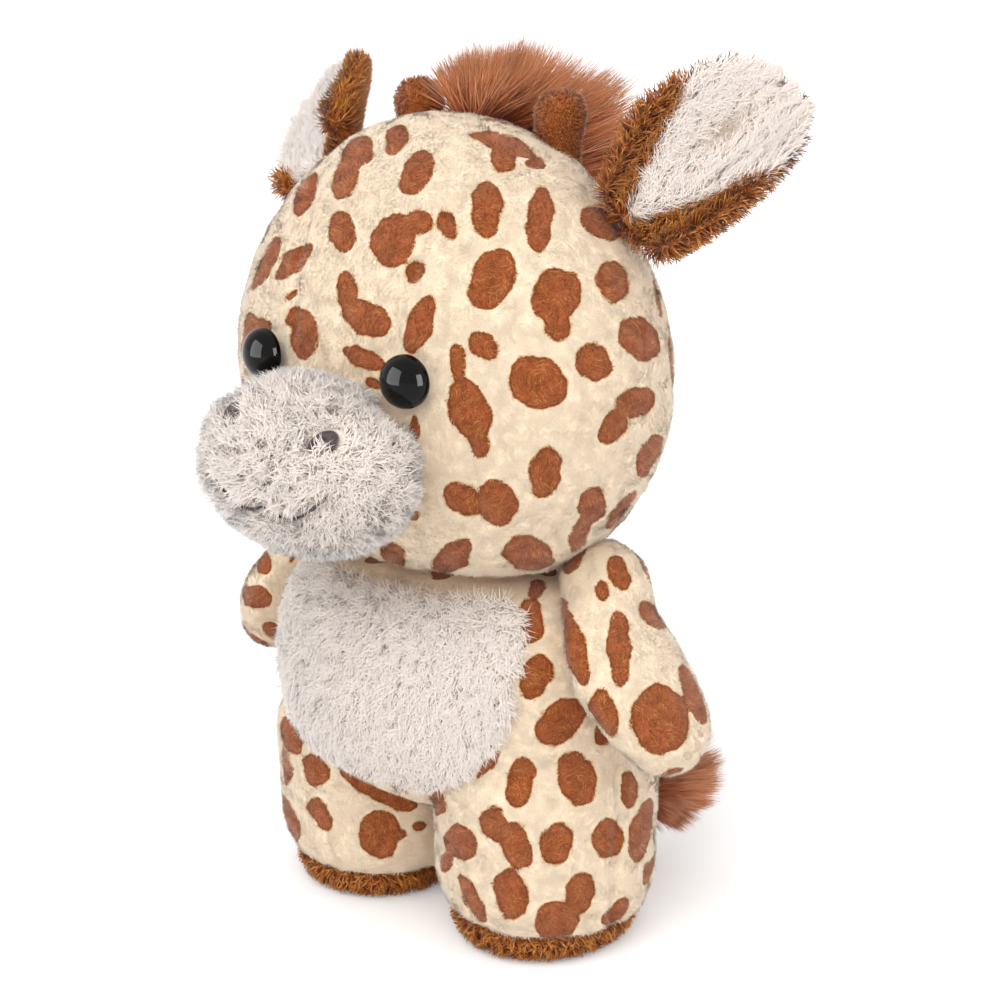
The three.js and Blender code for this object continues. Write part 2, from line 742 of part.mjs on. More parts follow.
// The top of the arm is cut back so that it clears the body all the way up as it lifts
const bodyClear = withHollows(bodyForm(-armLiftGap, 0, neckHeight + armLiftGap), seamGap);
const shoulder = new THREE.Matrix4().setPosition(armPivots[0]);
const armClear = Array.from({ length: armLiftSteps + 1 }, (_, i) => {
  const turn = THREE.MathUtils.degToRad((armLift * i) / armLiftSteps);
  const lift = new THREE.Matrix4().makeRotationY(turn);
  const aboutShoulder = shoulder.clone().multiply(lift).multiply(shoulder.clone().invert());
  return solid(geometryOf(bodyClear).applyMatrix4(aboutShoulder));
}).reduce((joined, turned) => joined.add(turned));
const armCover = inArmPlace(armForm(0)).subtract(armHollow).subtract(armClear);
const armFill = inArmPlace(armForm(coverWall + fillGap)).subtract(armClear);
node("arm_skin_left", armCover, spottedFabric);
node("arm_skin_right", mirrored(armCover), spottedFabric);
node("arm_stuffing_left", armFill, filling);
node("arm_stuffing_right", mirrored(armFill), filling);

// Tail, sewn on at the back with a round root
const tailPoints = tailPathShares.map((share) => (
  vector(...share).multiplyScalar(tailLength).add(tailRoot)
));
node("tail_tube", tube(tailPoints, tailRadius, tailSides).add(ball(tailRoot, tailRootRadius)), spottedFabric);

const tuftAxis = vector(0.78, 0, 0.62).normalize();
const tuftRings = tuftShares.map(([up, wide]) => ovalRing(
  vector(0, 0, tuftLength * up), (tuftWidth / 2) * wide, (tuftDepth / 2) * wide, 2 * tailSides,
));
const tuft = loft(tuftRings);
tuft.applyQuaternion(new THREE.Quaternion().setFromUnitVectors(upwards, tuftAxis));
const tuftRoot = tailPoints.at(-1);
tuft.translate(tuftRoot.x, tuftRoot.y, tuftRoot.z);
const tailEndAxis = tuftRoot.clone().sub(tailPoints.at(-2)).normalize();
const pastTheEnd = tuftRoot.clone().addScaledVector(tailEndAxis, seamGap);
const tubeClear = tube([...tailPoints, pastTheEnd], tailRadius + seamGap, tailSides);
node("tail_tuft", solid(tuft).subtract(tubeClear), tanHair);

// The origin lies on the ground, under the middle of the whole toy
giraffe.updateMatrixWorld(true);
const reach = new THREE.Box3().setFromObject(giraffe, true);
giraffe.position.y = -(reach.min.y + reach.max.y) / 2;
giraffe.updateMatrixWorld(true);

export default giraffe;
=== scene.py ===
import math

import bpy
import numpy as np
from mathutils import Matrix, Vector, noise
from mathutils.bvhtree import BVHTree


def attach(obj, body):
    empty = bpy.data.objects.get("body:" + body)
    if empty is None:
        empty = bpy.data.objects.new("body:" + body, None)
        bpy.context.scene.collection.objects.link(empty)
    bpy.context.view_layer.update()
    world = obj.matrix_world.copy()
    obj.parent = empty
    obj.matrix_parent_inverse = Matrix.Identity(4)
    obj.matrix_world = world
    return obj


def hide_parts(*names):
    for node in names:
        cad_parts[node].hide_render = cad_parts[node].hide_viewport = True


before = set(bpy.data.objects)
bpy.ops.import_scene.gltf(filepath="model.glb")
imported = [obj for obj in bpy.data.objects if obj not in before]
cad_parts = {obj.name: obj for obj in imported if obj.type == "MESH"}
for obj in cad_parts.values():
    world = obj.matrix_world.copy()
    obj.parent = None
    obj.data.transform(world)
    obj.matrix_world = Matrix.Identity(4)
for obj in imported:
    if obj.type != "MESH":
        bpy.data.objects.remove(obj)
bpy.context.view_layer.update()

mm = 0.001

# Camera. A long lens a little above the toy's head, turned towards its left front side,
# so that the whole toy stands in the frame as in the photograph.
camera_spot = np.array((325.1, -368.747, 252.6))
camera_turn, camera_rise = math.radians(39.9), math.radians(16.6)
photo_side = 1000
focal_length = 2132
film_side = 36
towards_camera = np.array((
    math.sin(camera_turn) * math.cos(camera_rise),
    -math.cos(camera_turn) * math.cos(camera_rise),
    math.sin(camera_rise),
))
picture_right = np.cross((0, 0, 1), towards_camera)
picture_right /= np.linalg.norm(picture_right)
picture_up = np.cross(towards_camera, picture_right)
lens = bpy.data.cameras.new("studio_camera")
lens.sensor_width = film_side
lens.lens = film_side * focal_length / photo_side
lens.clip_start, lens.clip_end = 0.01, 100
camera = bpy.data.objects.new("studio_camera", lens)
camera_axes = np.array((picture_right, picture_up, towards_camera)).T
camera.matrix_world = Matrix.Translation(camera_spot * mm) @ Matrix(camera_axes.tolist()).to_4x4()
bpy.context.scene.collection.objects.link(camera)
bpy.context.scene.camera = camera
bpy.context.scene.view_settings.view_transform = "Standard"

# Studio. A white paper sweep under large soft lamps: one key lamp to the left of the camera,
# a weaker one to its right, and the pale room all round.
sweep_half_width = 30.0
room_light = 0.8
sweep_lift = 0.16
# Each lamp: azimuth and elevation in degrees, then its strength and spread, or a window's size and power
lamps = (
    ("key_lamp", 12, 48, 1.7, 50),
    ("side_lamp", 105, 30, 0.6, 70),
)
window_lamps = (
    ("tall_window", -25, 6, 0.8, 1.2, 20.0),
    ("small_window", 85, 8, 0.5, 0.8, 16.0),
)
lamp_distance, toy_middle = 0.9, 0.12


def linear(code):
    """An sRGB hex colour as the linear colour that a shader takes"""
    channels = [int(code[i:i + 2], 16) / 255 for i in (1, 3, 5)]
    return (*(c / 12.92 if c <= 0.04045 else ((c + 0.055) / 1.055) ** 2.4 for c in channels), 1)


def add(tree, kind, settings=(), links=()):
    """One node with its settings and links; stops are those of a colour ramp"""
    node = tree.nodes.new(kind)
    for name, value in dict(settings).items():
        if name == "stops":
            ramp = node.color_ramp.elements
            while len(ramp) < len(value):
                ramp.new(1)
            for stop, (place, code) in zip(ramp, value):
                stop.position = place
                stop.color = linear(code)
        elif isinstance(name, int) or name in node.inputs:
            node.inputs[name].default_value = value
        else:
            setattr(node, name, value)
    for name, source in dict(links).items():
        tree.links.new(source, node.inputs[name])
    return node


def new_finish(name, settings):
    """A material of that name round one Principled shader"""
    material = bpy.data.materials.new(name)
    material.use_nodes = True
    tree = material.node_tree
    tree.nodes.clear()
    shader = add(tree, "ShaderNodeBsdfPrincipled", settings)
    add(tree, "ShaderNodeOutputMaterial", links={"Surface": shader.outputs["BSDF"]})
    return material, tree, shader


def camera_rays(tree):
    """1 for what the camera sees straight, mirrored or through glass, 0 for light on the toy"""
    path = add(tree, "ShaderNodeLightPath")
    first = add(tree, "ShaderNodeMath", {"operation": "MAXIMUM"}, {
        0: path.outputs["Is Camera Ray"], 1: path.outputs["Is Glossy Ray"],
    })
    return add(tree, "ShaderNodeMath", {"operation": "MAXIMUM"}, {
        0: first.outputs[0], 1: path.outputs["Is Transmission Ray"],
    }).outputs[0]


room = bpy.data.worlds.new("pale_room")
room.use_nodes = True
room.node_tree.nodes.clear()
room_glow = add(room.node_tree, "ShaderNodeBackground", {"Color": (1, 1, 1, 1), "Strength": room_light})
room_seen = add(room.node_tree, "ShaderNodeBackground", {"Color": (1, 1, 1, 1), "Strength": 1.0})
room_mix = add(room.node_tree, "ShaderNodeMixShader", links={
    0: camera_rays(room.node_tree), 1: room_glow.outputs[0], 2: room_seen.outputs[0],
})
add(room.node_tree, "ShaderNodeOutputWorld", links={"Surface": room_mix.outputs[0]})
bpy.context.scene.world = room

# Matt white paper: even, without gloss, with only a faint tooth
paper, paper_tree, paper_shader = new_finish("matt_white_sweep_paper", {
    "Base Color": linear("#F6F6F6"), "Roughness": 0.9, "Specular IOR Level": 0.2,
    "Emission Color": (1, 1, 1, 1),
})
paper_seen = add(paper_tree, "ShaderNodeMath", {"operation": "MULTIPLY", 1: sweep_lift}, {
    0: camera_rays(paper_tree),
})
paper_tree.links.new(paper_seen.outputs[0], paper_shader.inputs["Emission Strength"])
sweep_mesh = bpy.data.meshes.new("paper_sweep")
sweep_mesh.from_pydata(
    [(x * sweep_half_width, y * sweep_half_width, 0) for x, y in ((-1, -1), (1, -1), (1, 1), (-1, 1))],
    [], [(0, 1, 2, 3)],
)
sweep_mesh.materials.append(paper)
sweep = bpy.data.objects.new("paper_sweep", sweep_mesh)
bpy.context.scene.collection.objects.link(sweep)


def hung(name, light, azimuth, elevation):
    """A lamp on its stand round the toy: azimuth 0 is straight in front of its face"""
    turn, rise = math.radians(azimuth), math.radians(elevation)
    way = Vector((math.sin(turn) * math.cos(rise), -math.cos(turn) * math.cos(rise), math.sin(rise)))
    stand = bpy.data.objects.new(name, light)
    stand.location = way * lamp_distance + Vector((0, 0, toy_middle))
    stand.rotation_euler = way.to_track_quat("Z", "Y").to_euler()
    bpy.context.scene.collection.objects.link(stand)
    return stand


for name, azimuth, elevation, strength, spread in lamps:
    light = bpy.data.lights.new(name, "SUN")
    light.energy = strength
    light.angle = math.radians(spread)
    hung(name, light, azimuth, elevation).visible_glossy = False
# The windows only show in glossy things, such as the eyes
for name, azimuth, elevation, width, height, power in window_lamps:
    light = bpy.data.lights.new(name, "AREA")
    light.shape = "RECTANGLE"
    light.size, light.size_y = width, height
    light.energy = power
    window = hung(name, light, azimuth, elevation)
    window.visible_diffuse = False
    window.visible_camera = False

# Body cover. Plush cloth sewn into the torso and both legs, cream with printed rust-brown spots,
# closed by the soles below and drawn in to a round neck seam; stuffed firm with fibre.
torso_half_width, torso_half_depth, torso_back, neck_height, neck_radius = 50, 41, 7.453, 94, 17.5
torso_shares = (
    (0.33, 0.3, 0.24), (0.36, 0.58, 0.5), (0.41, 0.8, 0.74), (0.48, 0.95, 0.9), (0.56, 1, 0.98),
    (0.65, 1, 1), (0.76, 0.985, 0.98), (0.85, 0.94, 0.93), (0.915, 0.85, 0.85), (0.965, 0.68, 0.7),
)
leg_out, leg_back, leg_half_width, leg_half_depth, leg_top, leg_bottom = 26.5, 5.953, 24.5, 28.5, 58, 8.35
leg_shares = ((0.24, 0.975, 0.96), (0.42, 1, 1), (0.62, 0.98, 1.06), (0.8, 0.9, 1.1), (1, 0.66, 0.84))
sole_half_width, sole_half_depth = 22.5, 25
cover_inset = 0.5
leg_swell = 2.2
cover_voxel = 0.85
crimp_sizes = ((14.0, 0.6), (5.0, 0.25), (2.4, 0.08))

# Printed plush: the pile is cream, dyed rust brown in the spots, and a thin orange halo shows
# where the dye bled; darker between the fibres, because little light gets down there.
# The darker creams near 0 and the darker browns near 0.6 are partly painted shade in the crevices of the
# pile, partly its own random tone
spotted_dyes = (
    (0.0, "#F3DFC2"), (0.14, "#FFEBCF"), (0.3, "#FFF0D8"), (0.44, "#FCE3B8"),
    (0.53, "#DE9C60"), (0.6, "#70340E"), (0.8, "#A75521"), (1.0, "#D28D50"),
)
fibre_depth_shade = ((0.0, "#E2D6CA"), (0.35, "#F4EFEA"), (1.0, "#FFFFFF"))
fibre_grain = 0.55
swirl_size = 3.4
printed_per_mm2 = 6.0

# Spots as seen in the photograph: across, down, length, breadth and tilt, in its pixels
body_marks = (
    (536, 589, 22, 13, 120), (530, 621, 44, 27, 95), (522, 646, 10, 8, 90), (536, 677, 46, 28, 112),
    (560, 722, 56, 36, 140), (521, 782, 50, 27, 98), (577, 779, 54, 39, 75), (495, 824, 36, 28, 70),
    (516, 844, 50, 28, 70), (557, 843, 40, 32, 110), (607, 839, 38, 29, 80), (629, 790, 36, 16, 85),
    (643, 829, 66, 22, 105), (650, 868, 38, 9, 112), (616, 911, 34, 14, 135), (439, 802, 26, 17, 75),
    (461, 842, 32, 30, 60), (489, 764, 36, 8, 130), (447, 861, 22, 10, 110), (473, 899, 52, 13, 62),
    (512, 895, 50, 33, 80), (580, 893, 40, 28, 110), (556, 920, 44, 36, 150), (284, 685, 12, 6, 90),
    (291, 735, 36, 24, 70), (286, 765, 40, 10, 85), (318, 733, 16, 7, 60), (316, 770, 32, 24, 60),
    (378, 787, 84, 26, 28), (321, 814, 38, 18, 55), (290, 820, 50, 15, 75), (379, 834, 46, 40, 85),
    (419, 826, 12, 8, 0), (606, 556, 26, 20, 60),
)
leg_seam = ((621, 742), (619, 790), (617, 835), (614, 880), (611, 925))


def eased(table, steps):
    """A table of rows read off at even steps along a smooth curve through them"""
    table = np.array(table, float)
    along = table[:, 0]
    at = np.linspace(along[0], along[-1], steps)
    slopes = np.gradient(table, along, axis=0)
    low = np.clip(np.searchsorted(along, at) - 1, 0, len(along) - 2)
    span = (along[low + 1] - along[low])[:, None]
    part = (at[:, None] - along[low][:, None]) / span
    return (
        (2 * part**3 - 3 * part**2 + 1) * table[low] + (part**3 - 2 * part**2 + part) * span * slopes[low]
        + (3 * part**2 - 2 * part**3) * table[low + 1] + (part**3 - part**2) * span * slopes[low + 1]
    )


def lofted(rows, around=72):
    """A closed skin through oval rows, each a middle and two half widths as vectors"""
    turn = np.linspace(0, 2 * math.pi, around, endpoint=False)[:, None]
    rings = [np.array(m) + np.cos(turn) * np.array(a) + np.sin(turn) * np.array(b) for m, a, b in rows]
    points = np.concatenate([*rings, [rows[0][0]], [rows[-1][0]]])
    start = np.arange(around)
    after = (start + 1) % around
    quads = np.concatenate([
        np.stack((start, after, after + around, start + around), 1) + row * around
        for row in range(len(rows) - 1)
    ])
    low, high, last = len(points) - 2, len(points) - 1, (len(rows) - 1) * around
    ends = np.concatenate((
        np.stack((after, start, np.full(around, low)), 1),
        np.stack((start + last, after + last, np.full(around, high)), 1),
    ))
    return points, [quads, ends]


def sewn(name, points, faces, finish, body=None, slot=None):
    """A piece from points in millimetres and groups of faces, riding on a body"""
    faces = [np.asarray(group) for group in faces]
    corners = np.concatenate([group.ravel() for group in faces])
    sizes = np.concatenate([np.full(len(group), group.shape[1]) for group in faces])
    mesh = bpy.data.meshes.new(name)
    mesh.vertices.add(len(points))
    mesh.vertices.foreach_set("co", (np.asarray(points) * mm).ravel())
    mesh.loops.add(len(corners))
    mesh.loops.foreach_set("vertex_index", corners.astype(np.int32))
    mesh.polygons.add(len(sizes))
    mesh.polygons.foreach_set("loop_start", (np.cumsum(sizes) - sizes).astype(np.int32))
    mesh.update(calc_edges=True)
    mesh.shade_smooth()
    mesh.materials.append(finish)
    piece = bpy.data.objects.new(name, mesh)
    bpy.context.scene.collection.objects.link(piece)
    if body:
        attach(piece, body)
    return piece


def stands_for(piece, body, node):
    """Sets a stuffed piece on its body and hides the solid that it stands for"""
    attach(piece, body)
    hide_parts(node)


def joined_skin(name, parts, voxel, rounds, finish):
    """Overlapping closed forms as one even skin, with its hollows eased by rounds of smoothing"""
    points, faces, count = [], [], 0
    for part_points, part_faces in parts:
        faces += [np.asarray(group) + count for group in part_faces]
        points.append(part_points)
        count += len(part_points)
    skin = sewn(name, np.concatenate(points), faces, finish)
    remesh = skin.modifiers.new("even_mesh", "REMESH")
    remesh.mode = "VOXEL"
    remesh.voxel_size = voxel * mm
    ease = skin.modifiers.new("eased_hollows", "SMOOTH")
    ease.factor = 0.5
    ease.iterations = rounds
    graph = bpy.context.evaluated_depsgraph_get()
    settled = bpy.data.meshes.new_from_object(skin.evaluated_get(graph))
    skin.modifiers.clear()
    skin.data = settled
    settled.shade_smooth()
    return skin


def numbers(piece, what):
    """Points or outward directions of a piece, points in millimetres"""
    values = np.empty(len(piece.data.vertices) * 3)
    piece.data.vertices.foreach_get(what, values)
    return values.reshape(-1, 3) / (mm if what == "co" else 1)


def waves(points, size, start=0.0):
    """Smooth random heights from -1 to 1 whose hills are about size millimetres apart"""
    return np.array([noise.noise(Vector(point)) for point in points / size + start])


def crimped(piece, sizes, held=None):
    """Crinkles a cover: hills of each size and height in millimetres, less where it is held"""
    points, facings = numbers(piece, "co"), numbers(piece, "normal")
    height = sum(tall * waves(points, size) for size, tall in sizes)
    if held is not None:
        height = height + held(points)
    points = points + facings * height[:, None]
    piece.data.vertices.foreach_set("co", (points * mm).ravel())
    piece.data.update()


def sight_line(x, y):
    """The way from the camera through a pixel of the photograph"""
    middle = photo_side / 2
    way = (picture_right * (x - middle) + picture_up * (middle - y)) / focal_length - towards_camera
    return way / np.linalg.norm(way)


def surface_of(piece):
    """A piece's surface, to look for points on it"""
    return BVHTree.FromObject(piece, bpy.context.evaluated_depsgraph_get())


def seen_at(surface, x, y):
    """The point of a surface that a pixel shows, or the nearest to its line, and the way it faces"""
    way = sight_line(x, y)
    place, facing, _, _ = surface.ray_cast(Vector(camera_spot * mm), Vector(way))
    if place is None:
        beside = camera_spot + way * np.linalg.norm(camera_spot - (0, 0, neck_height))
        place, facing, _, _ = surface.find_nearest(Vector(beside * mm))
    return np.array(place) / mm, np.array(facing)


def laid_spots(surface, marks):
    """Spots of the photograph laid on a cover: middle, the map to a unit circle, and reach"""
    most_stretch = 1.8
    spots = []
    for x, y, length, breadth, tilt in marks:
        place, facing = seen_at(surface, x, y)
        sight = -sight_line(x, y)
        scale = np.dot(camera_spot - place, towards_camera) / focal_length
        turn = math.radians(tilt)
        halves = []
        for size, way in (
            (length, picture_right * math.cos(turn) - picture_up * math.sin(turn)),
            (breadth, -picture_right * math.sin(turn) - picture_up * math.cos(turn)),
        ):
            flat = way - np.dot(way, facing) / max(np.dot(sight, facing), 0.25) * sight
            flat -= facing * np.dot(flat, facing)
            stretch = np.linalg.norm(flat)
            halves.append(flat * min(1, most_stretch / stretch) * size / 2 * scale)
        reach = max(np.linalg.norm(half) for half in halves)
        flatten = np.linalg.inv(np.column_stack((*halves, facing)))
        spots.append((place, flatten, reach, (x, y, length, breadth, turn)))
    return spots


def toy_surface():
    """The whole toy's solids, to tell which places the camera can see"""
    points, faces = [], []
    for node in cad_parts.values():
        first = len(points)
        points += [vertex.co.copy() for vertex in node.data.vertices]
        faces += [[first + corner for corner in face.vertices] for face in node.data.polygons]
    return BVHTree.FromPolygons(points, faces)


whole_toy = toy_surface()


def filled_in(points, facings, spots, seed):
    """Adds spots of the same kind on the sides that the photograph doesn't show"""
    tries, halves, gap, clearance = 2600, (3.4, 6.6), 2.6, 3.5
    draw = np.random.default_rng(seed)
    spots = list(spots)
    for i in draw.permutation(len(points))[:tries]:
        place, facing = points[i], facings[i]
        way = camera_spot - place
        way /= np.linalg.norm(way)
        half = draw.uniform(*halves)
        slim = draw.uniform(0.5, 0.95)
        turn = draw.normal(0, 0.8)
        clear = place + facing * clearance
        if np.dot(way, facing) > 0.1 and whole_toy.ray_cast(Vector(clear * mm), Vector(way))[0] is None:
            continue
        gaps = [np.linalg.norm(place - middle) - 0.8 * reach for middle, _, reach, _ in spots]
        if min(gaps, default=99) < half + gap:
            continue
        level = np.cross(facing, (0.05, 0.1, 1))
        level /= np.linalg.norm(level)
        upright = np.cross(level, facing)
        long_half = (upright * math.cos(turn) + level * math.sin(turn)) * half
        short_half = np.cross(facing, long_half) * slim
        spots.append((place, np.linalg.inv(np.column_stack((long_half, short_half, facing))), half, None))
    return spots


def off_spots(points, facings, spots):
    """How far each point lies outside the nearest spot in millimetres, below 0 inside it. Where the
    photograph shows the place well, a spot's outline there decides, and elsewhere the cloth's own"""
    far = 9.0
    off = np.full(len(points), far)
    away = points - camera_spot
    depth = -away @ towards_camera
    across = photo_side / 2 + focal_length * (away @ picture_right) / depth
    down = photo_side / 2 - focal_length * (away @ picture_up) / depth
    faced = -np.sum(facings * away, axis=1) / np.linalg.norm(away, axis=1)
    well_seen = np.clip((faced - 0.1) / 0.25, 0, 1)
    for middle, flatten, reach, mark in spots:
        distance = np.linalg.norm(points - middle, axis=1)
        near = np.flatnonzero(distance < reach * 2 + 4)
        flat = (points[near] - middle) @ flatten.T
        share = np.hypot(flat[:, 0], flat[:, 1]) + 1e-6
        edge = np.where(np.abs(flat[:, 2]) < 12, distance[near] * (1 - 1 / share), far)
        if mark:
            x, y, length, breadth, turn = mark
            right, low = across[near] - x, down[near] - y
            share = 1e-6 + 2 * np.hypot(
                (right * math.cos(turn) + low * math.sin(turn)) / length,
                (low * math.cos(turn) - right * math.sin(turn)) / breadth,
            )
            seen_edge = np.hypot(right, low) * (1 - 1 / share) * depth[near] / focal_length
            edge += (seen_edge - edge) * well_seen[near]
        off[near] = np.minimum(off[near], edge)
    return off


def ragged_edge(points):
    """The uneven line of a printed spot's edge"""
    return 0.9 * waves(points, 5.0, 7.0) + 0.45 * waves(points, 1.6, 3.0)


def spot_dye(off, grain_and_shade=0.0):
    """The place in the dyes for a distance off the spots; the second argument, -1 to 1, moves a
    fibre lighter or darker: its own random tone, and painted shade in the pile's crevices
    """
    dye = np.interp(off, (-0.35, 0.0, 0.2, 0.6, 1.2), (0.8, 0.66, 0.5, 0.34, 0.15))
    return np.clip(dye + grain_and_shade * np.interp(dye, (0.2, 0.4, 0.6, 0.72), (0.08, 0, 0, 0.2)), 0, 1)


def dyed_cloth(name, dyes, settings):
    """The cloth under a pile: its dye is painted point by point, over a noise of matted fibres that
    also gives its relief; painted shade darkens it where that relief is low
    """
    material, tree, shader = new_finish(name, settings)
    place = add(tree, "ShaderNodeTexCoord")
    grain_and_shade = add(tree, "ShaderNodeTexNoise", {
        "Scale": 1 / (fibre_grain * mm), "Detail": 3.0, "Roughness": 0.6, "Distortion": 1.2,
    }, {"Vector": place.outputs["Object"]})
    dye = add(tree, "ShaderNodeAttribute", {"attribute_name": "dye"})
    colour = add(tree, "ShaderNodeValToRGB", {"stops": dyes}, {"Fac": dye.outputs["Fac"]})
    # Painted shade: darker where the relief is low, as deep between fibres
    depth = add(tree, "ShaderNodeValToRGB", {"stops": fibre_depth_shade}, {"Fac": grain_and_shade.outputs["Fac"]})
    mixed = add(tree, "ShaderNodeMix", {"data_type": "RGBA", "blend_type": "MULTIPLY", 0: 1.0}, {
        6: colour.outputs["Color"], 7: depth.outputs["Color"],
    })
    relief = add(tree, "ShaderNodeBump", {"Strength": 0.9, "Distance": 0.3 * mm}, {
        "Height": grain_and_shade.outputs["Fac"],
    })
    tree.links.new(mixed.outputs[2], shader.inputs["Base Color"])
    tree.links.new(relief.outputs["Normal"], shader.inputs["Normal"])
    return material


def dyed_pile(name, dyes, depths, settings):
    """Fibres: the dye runs across their map, from one fibre to the next, and painted shade along it, darkest
    at the root
    """
    material, tree, shader = new_finish(name, settings)
    place = add(tree, "ShaderNodeUVMap", {"uv_map": "OFBake"})
    parts = add(tree, "ShaderNodeSeparateXYZ", links={0: place.outputs["UV"]})
    colour = add(tree, "ShaderNodeValToRGB", {"stops": dyes}, {"Fac": parts.outputs["X"]})
    # Painted shade along each fibre: darkest at its root, where little light gets down
    depth = add(tree, "ShaderNodeValToRGB", {"stops": depths}, {"Fac": parts.outputs["Y"]})
    mixed = add(tree, "ShaderNodeMix", {"data_type": "RGBA", "blend_type": "MULTIPLY", 0: 1.0}, {
        6: colour.outputs["Color"], 7: depth.outputs["Color"],
    })
    tree.links.new(mixed.outputs[2], shader.inputs["Base Color"])
    return material


def painted(piece, dye):
    """Stores the dye of a piece's cloth, one for all its points or one each"""
    layer = piece.data.attributes.new("dye", "FLOAT", "POINT")
    layer.data.foreach_set("value", np.full(len(piece.data.vertices), dye, np.float32))


def printed(cover, surface, marks, seed):
    """Prints the photograph's spots on a cover, and more of their kind on its unseen sides"""
    points, facings = numbers(cover, "co"), numbers(cover, "normal")
    spots = filled_in(points, facings, laid_spots(surface, marks), seed)
    painted(cover, spot_dye(off_spots(points, facings, spots) + ragged_edge(points)))
    return spots


def scattered(piece, per_mm2, draw, kept=None):
    """Even random places on a piece, that many to a square millimetre, and the way they face;
    kept tells which of them stay"""
    mesh = piece.data
    mesh.calc_loop_triangles()
    corners = np.empty(len(mesh.loop_triangles) * 3, np.int32)
    mesh.loop_triangles.foreach_get("vertices", corners)
    points, facings = numbers(piece, "co"), numbers(piece, "normal")
    a, b, c = points[corners.reshape(-1, 3)].transpose(1, 0, 2)
    total = np.cumsum(np.linalg.norm(np.cross(b - a, c - a), axis=1) / 2)
    count = int(total[-1] * per_mm2)
    pick = np.searchsorted(total, (np.arange(count) + draw.random(count)) / count * total[-1])
    pick = np.minimum(pick, len(total) - 1)
    one, two = np.sqrt(draw.random(count)), draw.random(count)
    shares = np.stack((1 - one, one * (1 - two), one * two), 1)[:, :, None]
    roots = (np.stack((a[pick], b[pick], c[pick]), 1) * shares).sum(1)
    facing = (facings[corners.reshape(-1, 3)[pick]] * shares).sum(1)
    facing /= np.linalg.norm(facing, axis=1)[:, None]
    stays = kept(roots, facing) if kept else slice(None)
    return roots[stays], facing[stays]


def towards(ways, facings):
    """Directions brought flat on the surface and to length 1"""
    flat = ways - facings * np.sum(ways * facings, axis=1)[:, None]
    return flat / np.maximum(np.linalg.norm(flat, axis=1)[:, None], 1e-6)


def pile(
    name, roots, facings, lean, lay, length, width, dye, finish, body, slot, rings=1, curl=0.0, roundness=0.3,
):
    """Fibres as slim three-sided spikes. lay is their angle off the surface's own direction, at the
    root and at the tip, dye their place in the dyes, one or one each for root and tip, curl the turn
    from one ring to the next, and roundness how much each is lit as a thread of its own and not as
    a part of the soft surface"""
    count = len(roots)
    lay = np.radians(lay)
    lean = towards(lean, facings)
    across = np.cross(facings, lean)
    length, width = np.broadcast_to(length, count), np.broadcast_to(width, count)
    curl = np.broadcast_to(curl, count)
    spine = roots - facings * 0.15
    points, shade, normals = [], [], []
    for ring in range(rings):
        angle = lay[0] + (lay[1] - lay[0]) * (ring + 0.5) / rings
        turn = (curl * ring)[:, None]
        out = lean * np.cos(turn) + across * np.sin(turn)
        way = facings * math.cos(angle) + out * math.sin(angle)
        side = np.cross(facings, out)
        half = (width * (1 - 0.5 * (ring / rings) ** 2) / 2)[:, None]
        ridge = np.cross(way, side)
        points += [spine - side * half, spine + side * half, spine + ridge * half * 0.55]
        shade += [ring / rings] * 3
        normals += [facings + turned * roundness for turned in (-side, side, ridge)]
        spine = spine + way * (length / rings)[:, None]
    points = np.stack([*points, spine], 1)
    normals = np.stack([*normals, facings + way * roundness], 1).reshape(-1, 3)
    normals /= np.linalg.norm(normals, axis=1)[:, None]
    each = points.shape[1]
    ring_quads = [
        (3 * r + a, 3 * r + b, 3 * r + 3 + b, 3 * r + 3 + a)
        for r in range(rings - 1) for a, b in ((0, 1), (1, 2), (2, 0))
    ]
    last = 3 * (rings - 1)
    tris = [(0, 2, 1), (last, last + 1, each - 1), (last + 1, last + 2, each - 1), (last + 2, last, each - 1)]
    first = (np.arange(count) * each)[:, None, None]
    faces = [(np.array(tris)[None] + first).reshape(-1, 3)]
    if ring_quads:
        faces.insert(0, (np.array(ring_quads)[None] + first).reshape(-1, 4))
    fibres = sewn(name, points.reshape(-1, 3), faces, finish, body, slot)
    corners = np.concatenate([group.ravel() for group in faces])
    across_map = np.array([-0.008, 0.008, 0] * rings + [0.0])
    along = np.array([*shade, 1.0])
    dye = np.stack((dye, dye), 1) if np.ndim(dye) == 1 else dye
    dyes = np.clip(dye[:, :1] * (1 - along) + dye[:, 1:] * along + across_map, 0.002, 0.998).ravel()
    shades = np.tile(along * 0.97 + 0.015 + np.abs(across_map), count)
    fibres.data.normals_split_custom_set_from_vertices(normals.tolist())
    layer = fibres.data.uv_layers.new(name="OFBake")
    layer.data.foreach_set("uv", np.stack((dyes[corners], shades[corners]), 1).ravel().astype(np.float32))
    return fibres


def near_line(points, surface, marks, mirror=False):
    """How far points lie from a seam that is drawn through pixels of the photograph"""
    stops = np.array([seen_at(surface, x, y)[0] for x, y in marks])
    if mirror:
        stops = stops * (-1, 1, 1)
    least = np.full(len(points), 99.0)
    for a, b in zip(stops[:-1], stops[1:]):
        part = np.clip((points - a) @ (b - a) / np.dot(b - a, b - a), 0, 1)
        least = np.minimum(least, np.linalg.norm(points - a - part[:, None] * (b - a), axis=1))
    return least


def seam_dent(distance):
    """A sewn seam pulls the cloth in: a narrow dent along it"""
    return -0.9 * np.exp(-(distance / 1.5) ** 2)


